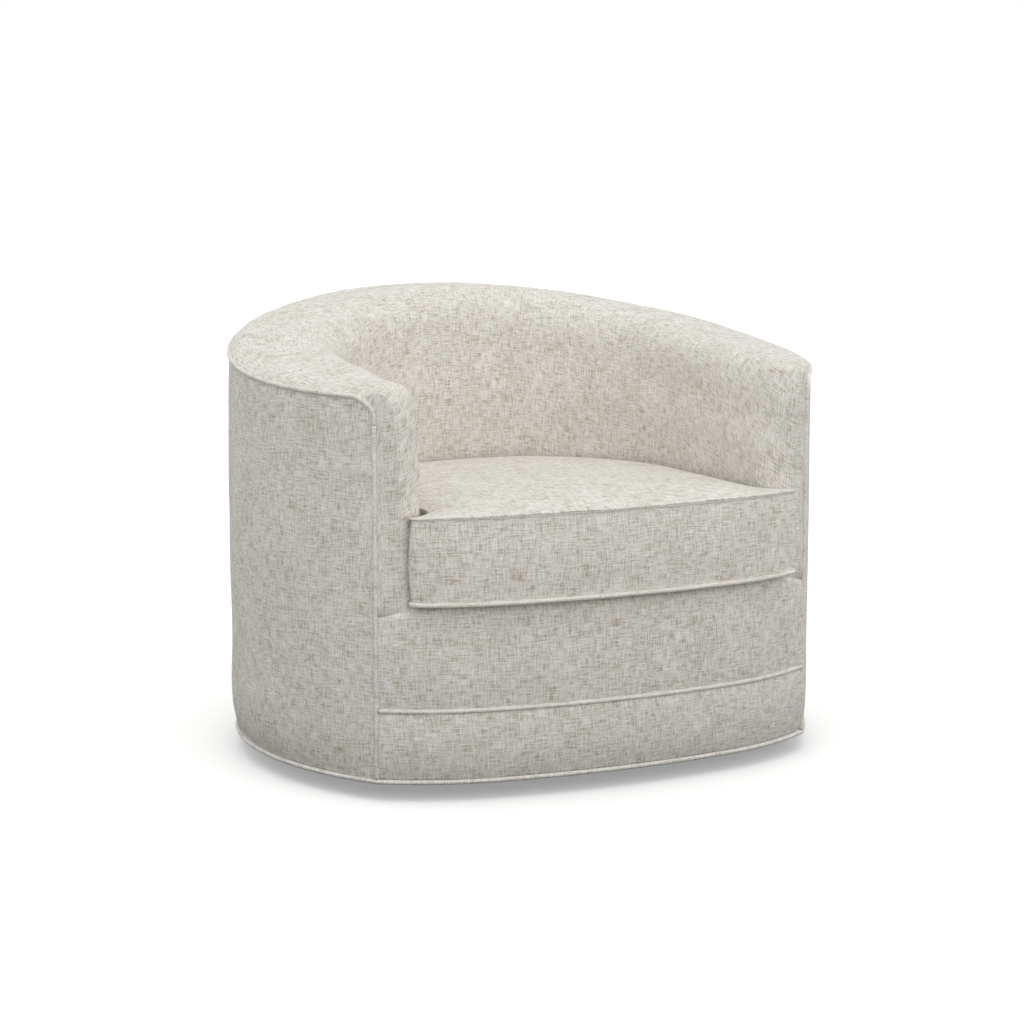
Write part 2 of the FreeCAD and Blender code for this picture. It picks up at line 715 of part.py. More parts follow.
def board_holes():
    """Bores of the swivel board: the bush and the upper plate's screws."""
    reach = s.screw_length - s.plate_thickness + s.fit_gap
    holes = [Part.makeCylinder(s.bush_radius + s.bearing_gap, s.board_thickness, V(0, 0, s.board_bottom))]
    for index in range(int(s.plate_screw_count)):
        angle = 2 * math.pi * index / s.plate_screw_count
        place = V(math.cos(angle), math.sin(angle), 0) * s.plate_screw_circle
        holes.append(Part.makeCylinder(s.screw_radius + s.screw_gap, reach, place + V(0, 0, s.board_bottom)))
    return holes


STAPLE_REACH_SHARE = 0.96


def bottom():
    """Swivel board, the welt round the bottom edge and the dust cover."""
    inside = Part.Face(chair_outline(s.band_pad + s.fit_gap, -hollow_outer))
    board = slab(inside, s.board_bottom, s.board_thickness)
    computed("swivel_board", board.cut(Part.makeCompound(board_holes())).cut(frame_screw(s.screw_gap)))
    computed("frame_screws", frame_screw(0))
    computed("base_welt", base_welt())
    low = s.board_bottom - s.lay_gap - s.dust_cloth_thickness
    cloth = slab(inside, low, s.dust_cloth_thickness)
    computed("dust_cover", cloth.cut(Part.makeCylinder(s.dust_cloth_hole, s.board_thickness, V(0, 0, low))))
    staples = []
    middle = (s.staple_count - 1) / 2
    for index in range(int(s.staple_count)):
        angle = (index - middle) / middle * barrel_end * STAPLE_REACH_SHARE
        radius = s.barrel_radius + hollow_outer - s.staple_inset
        staple = Part.makeBox(s.staple_length, s.staple_wire, s.staple_wire,
                              V(-s.staple_length / 2, radius, low - s.lay_gap - s.staple_wire))
        staple.rotate(V(0, 0, 0), V(0, 0, 1), -math.degrees(angle))
        staple.translate(barrel_centre)
        staples.append(staple)
    computed("dust_cover_staples", Part.makeCompound(staples))


def front_place(across, inset):
    """Y of the front curve, set in by a thickness, at a distance from the middle."""
    radius = s.shoulder_radius - inset
    if across > (s.front_radius - inset) * math.sin(front_turn):
        return shoulder_centre.y - math.sqrt(radius ** 2 - (across - shoulder_centre.x) ** 2)
    return front_centre.y - math.sqrt((s.front_radius - inset) ** 2 - across ** 2)


rail_inset = s.band_pad + s.fit_gap + s.rail_thickness
rail_outer = s.inner_half + s.inner_pad
rail_start = front_place(rail_outer, rail_inset) + s.fit_gap

front()
bottom()


# Seat frame: side rails and a back rail on blocks, with springs between the front and back rails


def seat_frame():
    length = s.back_rail_place - s.fit_gap - rail_start
    rails = []
    blocks = []
    for side in (-1, 1):
        near = rail_outer - s.rail_thickness if side > 0 else -rail_outer
        rails.append(Part.makeBox(s.rail_thickness, length, s.side_rail_height,
                                  V(near, rail_start, s.side_rail_bottom)))
        block_near = rail_outer - s.block_side if side > 0 else -rail_outer
        block_height = s.side_rail_bottom - s.lay_gap - s.board_top
        for place in (rail_start + s.block_side, s.back_rail_place - s.fit_gap - s.block_side):
            blocks.append(Part.makeBox(s.block_side, s.block_side, block_height,
                                       V(block_near, place, s.board_top)))
    computed("side_rails", Part.makeCompound(rails))
    computed("seat_blocks", Part.makeCompound(blocks).cut(frame_screw(s.screw_gap)))
    hollow = s.barrel_radius + hollow_outer
    reach = math.sqrt(hollow ** 2 - (s.back_rail_place + s.rail_thickness + s.barrel_forward) ** 2)
    rail = Part.makeBox(2 * reach, s.rail_thickness, s.rail_top - s.board_top,
                        V(-reach, s.back_rail_place, s.board_top))
    computed("back_rail", rail.cut(frame_screw(s.screw_gap)))


def spring_path(across):
    """A zigzag of cross runs and half turns from the front rail to the back rail."""
    start = front_place(abs(across), s.band_pad + s.fit_gap + s.rail_thickness / 2)
    end = s.back_rail_place + s.rail_thickness / 2
    turns = round((end - start) / s.spring_pitch)
    pitch = (end - start) / turns
    run = s.spring_width / 2 - pitch / 2
    edges = []
    for index in range(turns + 1):
        side = 1 if index % 2 else -1
        level = start + index * pitch
        far = V(across + side * run, level, s.spring_level)
        near = V(across - side * run, level, s.spring_level)
        edges.append(Part.LineSegment(far, near).toShape())
        if index < turns:
            bend = near + V(-side * pitch / 2, pitch / 2, 0)
            edges.append(Part.Arc(near, bend, near + V(0, pitch, 0)).toShape())
    return Part.Wire(edges), start, end


def spring_clip(across, place):
    """A saddle over the spring's end run."""
    top = s.spring_wire + s.clip_cover
    height = s.spring_level + top - s.rail_top
    body = Part.makeBox(s.clip_width, s.clip_length, height,
                        V(across - s.clip_width / 2, place - s.clip_length / 2, s.rail_top))
    channel = Part.makeCylinder(s.spring_wire + s.lay_gap, s.clip_width,
                                V(across - s.clip_width / 2, place, s.spring_level), V(1, 0, 0))
    slot = Part.makeBox(s.clip_width, 2 * (s.spring_wire + s.lay_gap), s.spring_level - s.rail_top,
                        V(across - s.clip_width / 2, place - s.spring_wire - s.lay_gap, s.rail_top))
    return body.cut(channel.fuse(slot))


def springs():
    wires = []
    clips = []
    middle = (s.spring_count - 1) / 2
    for index in range(int(s.spring_count)):
        across = (index - middle) * s.spring_spread
        path, start, end = spring_path(across)
        wires.append(tube_along(path, s.spring_wire))
        clips += [spring_clip(across, start), spring_clip(across, end)]
    computed("seat_springs", Part.makeCompound(wires))
    computed("spring_clips", Part.makeCompound(clips))


def deck_face(inset):
    """The seat platform in plan, inside the arms and behind the front curve."""
    half = s.inner_half - s.fit_gap - inset
    centre = V(0, -s.inner_forward, 0)
    front_inset = s.band_pad + s.fit_gap + inset
    joint = on_arc(front_centre, s.front_radius - front_inset, front_turn)
    end = V(half, front_place(half, front_inset), 0)
    middle = V((joint.x + half) / 2, front_place((joint.x + half) / 2, front_inset), 0)
    side = centre + V(half, 0, 0)
    diagonal = centre + V(1, 1, 0) * half * math.sqrt(2) / 2
    back = centre + V(0, half, 0)
    edges = mirrored_edges([(joint, middle, end), (end, None, side), (side, diagonal, back)])
    front_middle = on_arc(front_centre, s.front_radius - front_inset, 0)
    edges.append(Part.Arc(V(-joint.x, joint.y, 0), front_middle, joint).toShape())
    return Part.Face(closed(edges))


def deck():
    face = deck_face(0)
    computed("spring_felt", slab(face, s.felt_bottom, s.felt_thickness))
    computed("deck_pad", slab(face, s.deck_pad_bottom, s.deck_pad_thickness))
    computed("deck_cloth", slab(face, s.cloth_bottom, s.deck_cloth_thickness))


seat_frame()
springs()
deck()


# Arm fronts: padded ends of the arms, between the barrel's end planes and the front
def arm_front_wire(side, level, inner_inset, outer_inset, front_inset):
    plane = barrel_end - (welt_room - s.lay_gap) / s.barrel_radius
    outward = V(math.sin(plane), math.cos(plane), 0)
    slant = (level - s.rail_top) / (s.arm_height - s.roll_inner_drop - s.rail_top)
    half = s.inner_half + (s.inner_half_top - s.inner_half) * slant + inner_inset
    inner_end = barrel_centre + outward * (half / outward.x)
    outer_end = barrel_centre + outward * (s.barrel_radius - welt_room - outer_inset)
    turn = s.arm_nose_round - front_inset
    nose = V(half + turn, s.arm_nose_round - nose_forward, 0)
    half_turn = math.sqrt(2) / 2
    points = [inner_end, outer_end, nose + V(0, -turn, 0),
              nose + V(-half_turn, -half_turn, 0) * turn, nose + V(-turn, 0, 0)]
    places = [V(side * point.x, point.y, level) for point in points]
    return Part.Wire([
        Part.LineSegment(places[0], places[1]).toShape(), Part.LineSegment(places[1], places[2]).toShape(),
        Part.Arc(places[2], places[3], places[4]).toShape(),
        Part.LineSegment(places[4], places[0]).toShape()])


def rounding(level, foot, rise, width):
    """How far a quarter round, starting at a foot, has drawn in at a level."""
    share = min(1.0, max(0.0, (level - foot) / rise))
    return width * (1 - math.sqrt(1 - share ** 2))


ARM_TOP_SHARES = [0.3, 0.5, 0.67, 0.8, 0.9, 0.96, 0.99, 1.0]


def arm_fronts():
    end = barrel_frame(barrel_end)
    widen = -inner_place(end, s.inner_half_top) / (s.barrel_radius - s.inner_half_top)
    top = s.arm_height
    foot = top - s.roll_inner_drop
    bottom = s.border_height + s.fit_gap
    levels = [bottom, foot] + [foot + share * s.roll_inner_drop for share in ARM_TOP_SHARES]
    for label, side in (("left_arm_front", -1), ("right_arm_front", 1)):
        wires = []
        for level in levels:
            wires.append(arm_front_wire(
                side, level, rounding(level, foot, s.roll_inner_drop, s.roll_inner_width * widen),
                rounding(level, top - s.roll_rise, s.roll_rise, s.roll_outer_width * widen),
                rounding(level, top - s.arm_top_round, s.arm_top_round, s.arm_top_round)))
        channel = Part.makeCylinder(welt_room, top, V(side * corner.x, corner.y, 0))
        computed(label, Part.makeLoft(wires, True, True).cut(channel))


arm_fronts()


# Loose cushion
cushion_half = s.inner_half - s.cushion_side_gap
cushion_back = V(0, -s.inner_forward, 0)
cushion_middle = (s.cushion_low_welt + s.cushion_high_welt) / 2


def cushion_outline():
    """T outline at the seams, its ears reaching round the arm fronts, corners softened."""
    turn = math.asin(s.cushion_flat_half / s.cushion_front_radius)
    centre = V(0, s.cushion_front_radius - s.cushion_front, 0)
    joint = on_arc(centre, s.cushion_front_radius, turn)
    tip = V(s.inner_half + s.ear_reach, -nose_forward - s.ear_lead, 0)
    chord = tip - joint
    lean = math.atan2(chord.y, chord.x) - turn
    middle_way = turn + lean / 2
    shoulder = joint + V(math.cos(middle_way), math.sin(middle_way), 0) * (
        chord.Length / 2 / math.cos(lean / 2))
    nose = V(s.inner_half + s.arm_nose_round, s.arm_nose_round - nose_forward, 0)
    clear = s.arm_nose_round + s.welt_radius + s.cushion_side_gap
    ear = V(tip.x, nose.y - math.sqrt(clear ** 2 - (nose.x - tip.x) ** 2), 0)
    waist = V(cushion_half, nose.y - math.sqrt(clear ** 2 - (nose.x - cushion_half) ** 2), 0)
    bend = nose + (ear + waist - nose * 2).normalize() * clear
    side = cushion_back + V(cushion_half, 0, 0)
    diagonal = cushion_back + V(1, 1, 0).normalize() * cushion_half
    edges = mirrored_edges([
        (joint, shoulder, tip), (tip, None, ear), (ear, bend, waist), (waist, None, side),
        (side, diagonal, cushion_back + V(0, cushion_half, 0))])
    front_middle = on_arc(centre, s.cushion_front_radius, 0)
    edges.append(Part.Arc(V(-joint.x, joint.y, 0), front_middle, joint).toShape())
    block = Part.Face(closed(edges)).extrude(V(0, 0, s.ear_round))
    corners = [V(mirror * point.x, point.y, 0) for point in (tip, ear, waist) for mirror in (-1, 1)]
    sharp = [edge for edge in block.Edges
             if abs(edge.tangentAt(edge.FirstParameter).z) > 1 - 1e-6
             and min((V(edge.CenterOfMass.x, edge.CenterOfMass.y, 0) - point).Length
                     for point in corners) < s.fit_gap]
    softened = block.makeFillet(s.ear_round, sharp)
    bottom_face = min(softened.Faces, key=lambda face: face.CenterOfMass.z)
    return bottom_face.OuterWire


outline = cushion_outline()
CROWN_SHARES = [(1.0, 0.0), (0.985, 0.14), (0.95, 0.30), (0.88, 0.52), (0.76, 0.75), (0.58, 0.92),
                (0.35, 1.0)]


def seam_wire(level, inset=0.0):
    wire = outline.makeOffset2D(-inset) if inset else outline.copy()
    wire.translate(V(0, 0, level))
    return wire


def crown_wires():
    """Sections of the crowned top panel with the wadding under it."""
    rise = s.cushion_crown - s.cushion_high_welt
    middle = V(0, (cushion_back.y + cushion_half - s.cushion_front) / 2, 0)
    wires = []
    for size_share, rise_share in CROWN_SHARES:
        wire = outline.copy()
        wire.scale(size_share, middle)
        wire.translate(V(0, 0, s.cushion_high_welt + rise * rise_share))
        wires.append(wire)
    return wires


def boxing_wires(depth):
    """Sections of the boxing, drawn in between its two seams."""
    top = s.cushion_high_welt - s.lay_gap
    return [seam_wire(s.cushion_low_welt, depth), seam_wire(cushion_middle, s.boxing_draw + depth),
            seam_wire(top, depth)]


def cushion():
    """Foam core in a boxed cover of three panels, with a welt in each seam."""
    seams = [seam_wire(s.cushion_low_welt), seam_wire(s.cushion_high_welt)]
    channels = Part.makeCompound([tube_along(seam, s.welt_radius + s.lay_gap) for seam in seams])
    depth = s.fabric_thickness
    crown = Part.makeLoft(crown_wires(), True, True)
    computed("cushion_top_panel", crown.cut(channels))
    outer = Part.makeLoft(boxing_wires(0), True, False)
    inner = Part.makeLoft(boxing_wires(depth), True, False)
    computed("cushion_boxing", outer.cut(inner).cut(channels))
    computed("cushion_bottom_panel", slab(Part.Face(outline), s.cushion_bottom, depth))
    depth += s.lay_gap
    core = Part.makeLoft(boxing_wires(depth), True, False)
    low = s.cushion_bottom + depth
    base = slab(Part.Face(outline.makeOffset2D(-s.boxing_draw)), low, s.cushion_low_welt - low)
    computed("cushion_core", core.fuse(base).cut(channels))
    for label, seam in zip(("cushion_bottom_welt", "cushion_top_welt"), seams):
        computed(label, tube_along(seam, s.welt_radius))


def arc_block(radius, depth, height, middle, half):
    """A block bent round the cushion's back, its middle and half width given as angles from the back."""
    base = cushion_back + V(0, 0, cushion_middle - height / 2)
    sweep = math.degrees(2 * half)
    outer = Part.makeCylinder(radius + depth, height, base, V(0, 0, 1), sweep)
    outer.rotate(base, V(0, 0, 1), math.degrees(math.pi / 2 - middle - half))
    return outer.cut(Part.makeCylinder(radius, height, base))


def zip_fastener():
    half = math.radians(s.zip_angle)
    tape = cushion_half - s.boxing_draw + s.fit_gap + s.fit_gap
    face = tape + s.zip_thickness
    computed("zip_tape", arc_block(tape, s.zip_thickness, s.zip_width, 0, half))
    stop = s.stop_width / 2 / face
    stops = [arc_block(face, s.zip_thickness, s.slider_height, side * (half - stop), stop)
             for side in (-1, 1)]
    computed("zip_stops", Part.makeCompound(stops))
    slider = s.slider_width / 2 / face
    rest = half - 2 * stop - slider - s.fit_gap / face
    computed("zip_slider", arc_block(face + s.lay_gap, s.slider_depth, s.slider_height, -rest, slider))
    print("zip slider travels", round(math.degrees(2 * rest), 3), "degrees")


cushion()
zip_fastener()


# Checks and files
def check(thing):
    """Stop at a sub-part whose shape is missing or unsound."""
    shape = thing.Shape
    if shape.isNull() or not shape.isValid() or not shape.Solids:
        raise ValueError("no sound shape in " + thing.Label)
    return shape


doc.recompute()
for thing in doc.Objects:
    if "Invalid" in thing.State or "Error" in thing.State:
        raise ValueError("failed object " + thing.Name)
os.makedirs("parts", exist_ok=True)
for thing in subparts:
    shape = check(thing)
    print(thing.Label, len(shape.Solids), "solids", len(shape.Faces), "faces", round(shape.Volume), "mm3")
    shape.exportStep("parts/" + thing.Label + ".step")
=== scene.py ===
import math

import bmesh
import bpy
import numpy as np
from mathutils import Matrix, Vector, noise


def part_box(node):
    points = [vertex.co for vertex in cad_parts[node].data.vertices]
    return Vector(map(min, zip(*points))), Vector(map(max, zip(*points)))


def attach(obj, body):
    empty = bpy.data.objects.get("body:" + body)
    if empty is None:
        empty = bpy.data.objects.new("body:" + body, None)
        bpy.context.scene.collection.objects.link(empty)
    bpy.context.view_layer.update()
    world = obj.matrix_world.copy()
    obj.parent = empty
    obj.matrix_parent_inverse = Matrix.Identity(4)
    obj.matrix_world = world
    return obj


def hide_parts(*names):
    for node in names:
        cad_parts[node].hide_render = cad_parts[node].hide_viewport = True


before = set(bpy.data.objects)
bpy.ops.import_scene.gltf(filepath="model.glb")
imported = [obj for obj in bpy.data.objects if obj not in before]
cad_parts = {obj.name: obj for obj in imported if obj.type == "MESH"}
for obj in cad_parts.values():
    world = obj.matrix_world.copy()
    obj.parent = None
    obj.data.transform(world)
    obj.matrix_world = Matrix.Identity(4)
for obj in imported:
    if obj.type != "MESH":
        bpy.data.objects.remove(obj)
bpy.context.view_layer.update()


def middle(node, axis):
    low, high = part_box(node)
    return (low[axis] + high[axis]) / 2


def from_back(turn):
    """A direction in plan, turned from the back's middle towards the right."""
    return np.array([math.sin(turn), math.cos(turn)])


def from_right(turn):
    """A direction in plan, turned from the right towards the back."""
    return np.array([math.cos(turn), math.sin(turn)])


# Levels and sizes, in metres, read from the solids
BACK_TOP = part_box("barrel_pad")[1][2]
ARM_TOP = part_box("left_arm_front")[1][2]
BASE_WELT = middle("base_welt", 2)
BAND_WELT = middle("band_welt", 2)
BORDER_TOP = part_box("front_border")[1][2]
CUSHION_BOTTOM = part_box("cushion_bottom_panel")[0][2]
CUSHION_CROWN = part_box("cushion_top_panel")[1][2]
LOW_SEAM = middle("cushion_bottom_welt", 2)
DECK_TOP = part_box("deck_cloth")[1][2]
DECK_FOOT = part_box("spring_felt")[0][2]
WELT = (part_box("cushion_bottom_welt")[1][2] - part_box("cushion_bottom_welt")[0][2]) / 2
TOP_SEAM = middle("cushion_top_welt", 2)
REAR_SEAM = TOP_SEAM - 0.016

# Plan of the chair, the same lines as the solids
BARREL_R, BARREL_Y = 0.464, -0.044
INNER_HALF, INNER_LEAN, INNER_Y = 0.280, 0.016, BARREL_Y - 0.010
NOSE_R, NOSE_LEAD = 0.045, 0.021
FRONT_R, FLAT_HALF, SHOULDER_R = 1.300, 0.200, 0.430
FRONT_FORWARD = 0.406
FRONT_Y = FRONT_R - FRONT_FORWARD
ROLL_RISE = 0.018

# Soft forms, gaps at the seams and edges turned in behind them
SWOOP_POWER = 1.26
ARM_PLUMP = 0.007
ARM_END_RUN, ARM_END_FALL = 0.050, 0.030
INNER_DROP = 0.096
TOP_SWELL = 0.004
DART_LENGTH, DART_DEPTH, DART_WIDTH = 0.046, 0.0034, 0.0020
SEAM_GAP = 0.0028
CLOTH_EDGE = 0.0026
TURNED_IN = 0.0085
PANEL_BACK = 0.0225
CUSHION_CLEAR = 0.0015
DECK_INSET, SHEET_INSET, SHEET_HOLE = 0.0235, 0.0236, 0.165
ZIP_HALF_TURN = math.radians(48)
TOOTH_PITCH = 0.0016
STAPLES = 24
LONG_WAVE, SHORT_WAVE = 0.0011, 0.0004

flat_turn = math.asin(FLAT_HALF / FRONT_R)
shoulder = np.array([math.sin(flat_turn), -math.cos(flat_turn)]) * (FRONT_R - SHOULDER_R) + [0, FRONT_Y]


def find_corner():
    """Where the shoulder arc of the front meets the barrel's circle."""
    reach = shoulder - [0, BARREL_Y]
    apart = np.hypot(*reach)
    along = (BARREL_R ** 2 - SHOULDER_R ** 2 + apart ** 2) / (2 * apart)
    half = math.sqrt(BARREL_R ** 2 - along ** 2)
    line = reach / apart
    side = np.array([line[1], -line[0]])
    spots = [line * along + side * half, line * along - side * half]
    return min(spots, key=lambda spot: spot[1]) + [0, BARREL_Y]


corner = find_corner()
corner_turn = math.asin((corner[0] - shoulder[0]) / SHOULDER_R)
BARREL_END = math.atan2(corner[0], corner[1] - BARREL_Y)
NOSE_Y = corner[1] - NOSE_LEAD + NOSE_R
HALF_FRONT = FRONT_R * flat_turn + SHOULDER_R * (corner_turn - flat_turn)


def front_line(share):
    """Point and outward direction on the front's outer line, from -1 to 1."""
    flat = FRONT_R * flat_turn
    length = abs(share) * HALF_FRONT
    if length <= flat:
        centre, radius, turn = np.array([0, FRONT_Y]), FRONT_R, length / FRONT_R
    else:
        centre, radius, turn = shoulder, SHOULDER_R, flat_turn + (length - flat) / SHOULDER_R
    out = np.array([math.sin(turn), -math.cos(turn)])
    spot = centre + out * radius
    mirror = np.array([-1 if share < 0 else 1, 1])
    return spot * mirror, out * mirror


def crest(share):
    """Height of the wall's top, from the back's middle at 0 to the arm's end at 1."""
    swoop = (1 + math.cos(math.pi * share)) / 2
    return ARM_TOP + (BACK_TOP - ARM_TOP) * swoop ** SWOOP_POWER


def fullness(share):
    """One along the barrel, fading close to its ends."""
    return 1 - abs(share) ** 8


def smooth(value, start, end):
    share = min(1.0, max(0.0, (value - start) / (end - start)))
    return share * share * (3 - 2 * share)


def waviness(spot, size, seed=0.0):
    """A soft bump field, about -1 to 1, whose hollows are about size apart."""
    return noise.noise(Vector((spot[0] / size + seed, spot[1] / size - seed, spot[2] / size + 2 * seed)))


# Mesh helpers
def build(name, points, faces, corners):
    """A mesh object from points and faces, with each face corner's place on the cloth in metres."""
    mesh = bpy.data.meshes.new(name)
    mesh.from_pydata([tuple(point) for point in points], [], [tuple(face) for face in faces])
    layer = mesh.uv_layers.new(name="cloth")
    flat = np.array([place for face in corners for place in face], dtype=np.float32)
    layer.data.foreach_set("uv", flat.ravel())
    mesh.update()
    mesh.polygons.foreach_set("use_smooth", [True] * len(mesh.polygons))
    thing = bpy.data.objects.new(name, mesh)
    bpy.context.scene.collection.objects.link(thing)
    work = bmesh.new()
    work.from_mesh(mesh)
    bmesh.ops.recalc_face_normals(work, faces=work.faces)
    work.to_mesh(mesh)
    work.free()
    return thing


def skin(name, rows, cloth, loop=False):
    """A swept surface, closed at its ends. rows is stations by points round the section; cloth has one
    place more for each station, where its ring closes, and one station more where the sweep is a loop."""
    rows = np.asarray(rows, dtype=float)
    cloth = np.asarray(cloth, dtype=float)
    stations, around = rows.shape[:2]
    faces, corners = [], []
    last = stations if loop else stations - 1
    for i in range(last):
        j = (i + 1) % stations
        for k in range(around):
            n = (k + 1) % around
            faces.append((i * around + k, i * around + n, j * around + n, j * around + k))
            corners.append((cloth[i, k], cloth[i, k + 1], cloth[i + 1, k + 1], cloth[i + 1, k]))
    if not loop:
        for i in (0, stations - 1):
            faces.append([i * around + k for k in range(around)])
            corners.append([cloth[i, k] for k in range(around)])
    return build(name, rows.reshape(-1, 3), faces, corners)


def lidded(name, rings, place):
    """A surface of closed rings with a fan of faces over each end. place gives a corner's place on the
    cloth from the row of its face, its station round the ring and its point."""
    count = len(rings[0])
    points = [spot for ring in rings for spot in ring]
    faces, corners = [], []
    for i in range(len(rings) - 1):
        for k in range(count):
            face = ((i, k), (i, k + 1), (i + 1, k + 1), (i + 1, k))
            faces.append([row * count + at % count for row, at in face])
            corners.append([place(i, at, rings[row][at % count]) for row, at in face])
    for i in (0, len(rings) - 1):
        hub = np.mean(rings[i], axis=0)
        points.append(hub)
        for k in range(count):
            n = (k + 1) % count
            faces.append((i * count + k, i * count + n, len(points) - 1))
            corners.append([place(i, 0, spot) for spot in (rings[i][k], rings[i][n], hub)])
    return build(name, points, faces, corners)


def run_lengths(points):
    points = np.asarray(points, dtype=float)
    steps = np.linalg.norm(np.diff(points, axis=0), axis=1)
    return np.concatenate([[0.0], np.cumsum(steps)])


def piping(name, path, radius=WELT, loop=False):
    """A covered cord along a path."""
    sides = 12
    path = np.asarray(path, dtype=float)
    if loop:
        tangents = np.roll(path, -1, axis=0) - np.roll(path, 1, axis=0)
    else:
        tangents = np.gradient(path, axis=0)
    tangents /= np.linalg.norm(tangents, axis=1)[:, None]
    rows = []
    total = run_lengths(np.vstack([path, path[:1]]) if loop else path)
    normal = np.cross(tangents[0], [0.31, 0.17, 0.93])
    normal /= np.linalg.norm(normal)
    for i in range(len(path)):
        normal = normal - tangents[i] * np.dot(normal, tangents[i])
        normal /= np.linalg.norm(normal)
        other = np.cross(tangents[i], normal)
        swell = 1 + 0.03 * waviness(path[i], 0.034, 3.0)
        row = []
        for k in range(sides):
            turn = 2 * math.pi * k / sides
            row.append(path[i] + (normal * math.cos(turn) + other * math.sin(turn)) * radius * swell)
        rows.append(row)
    around = [2 * math.pi * radius * k / sides for k in range(sides + 1)]
    cloth = [[(along, place) for place in around] for along in total]
    return skin(name, rows, cloth, loop=loop)


def resample(points, step, closed=False):
    points = np.asarray(points, dtype=float)
    if closed:
        points = np.vstack([points, points[:1]])
    total = run_lengths(points)
    count = max(2, int(round(total[-1] / step)))
    places = np.linspace(0, total[-1], count + 1)
    if closed:
        places = places[:-1]
    return np.stack([np.interp(places, total, points[:, axis]) for axis in range(points.shape[1])], axis=1)


# Inner line of the wall: a U with a round back, then the arm's nose and its front face
def wall_rays():
    """For the right half, from the back's middle to the corner: the inner line's foot, the way that this
    line leans outward, the turn of the outer edge from the back's middle, and how far the ray is past the
    straight arm, from 0 to 1 on the nose and on to 2 at the corner."""
    rays = []
    for turn in np.linspace(0, math.pi / 2, 58):
        way = from_back(turn)
        rays.append((np.array([0, INNER_Y]) + way * INNER_HALF, way, way, 0.0))
    for y in np.linspace(INNER_Y, NOSE_Y, 30)[1:]:
        rays.append((np.array([INNER_HALF, y]), np.array([1.0, 0]), np.array([1.0, 0]), 0.0))
    nose = np.array([INNER_HALF + NOSE_R, NOSE_Y])
    for share in np.linspace(0, 1, 72)[1:]:
        turn = share * math.pi / 2
        foot = nose - from_right(turn) * NOSE_R
        rays.append((foot, np.array([1.0, 0]), None, share))
    front_start = nose - [0, NOSE_R]
    front_end = corner + np.array([-0.0032, -0.0004])
    for share in np.linspace(0, 1, 44)[1:]:
        foot = front_start + (front_end - front_start) * share
        rays.append((foot, np.array([1.0 - share, 0]), None, 1 + share))
    start = math.atan2(math.sqrt(BARREL_R ** 2 - (NOSE_Y - BARREL_Y) ** 2), NOSE_Y - BARREL_Y)
    done = []
    for foot, shift, way, past in rays:
        if way is not None:
            away = foot - [0, BARREL_Y]
            along = np.dot(away, way)
            reach = -along + math.sqrt(along ** 2 - np.dot(away, away) + BARREL_R ** 2)
            outer = foot + way * reach
            turn = math.atan2(outer[0], outer[1] - BARREL_Y)
        else:
            turn = start + (BARREL_END - 0.0055 - start) * (past / 2) ** 0.72
        done.append((foot, shift, turn, past))
    return done


RAYS = wall_rays()
TOP_ROWS, FACE_ROWS = 48, 26


def drop(distance, width, height, power):
    """How far a rounded edge has fallen, at a distance in from it."""
    share = min(1.0, max(0.0, 1 - distance / width))
    return height * (1 - (1 - share ** power) ** (1 / power))


def outer_level(turn, past=1.0):
    """Height of the wall's outer edge: level under the roll, falling round the arm's end."""
    fall = 0.0
    if past > 0:
        fall = drop((BARREL_END - turn) * BARREL_R, ARM_END_RUN, ARM_END_FALL, 2.0)
    return crest(turn / BARREL_END) - ROLL_RISE - fall


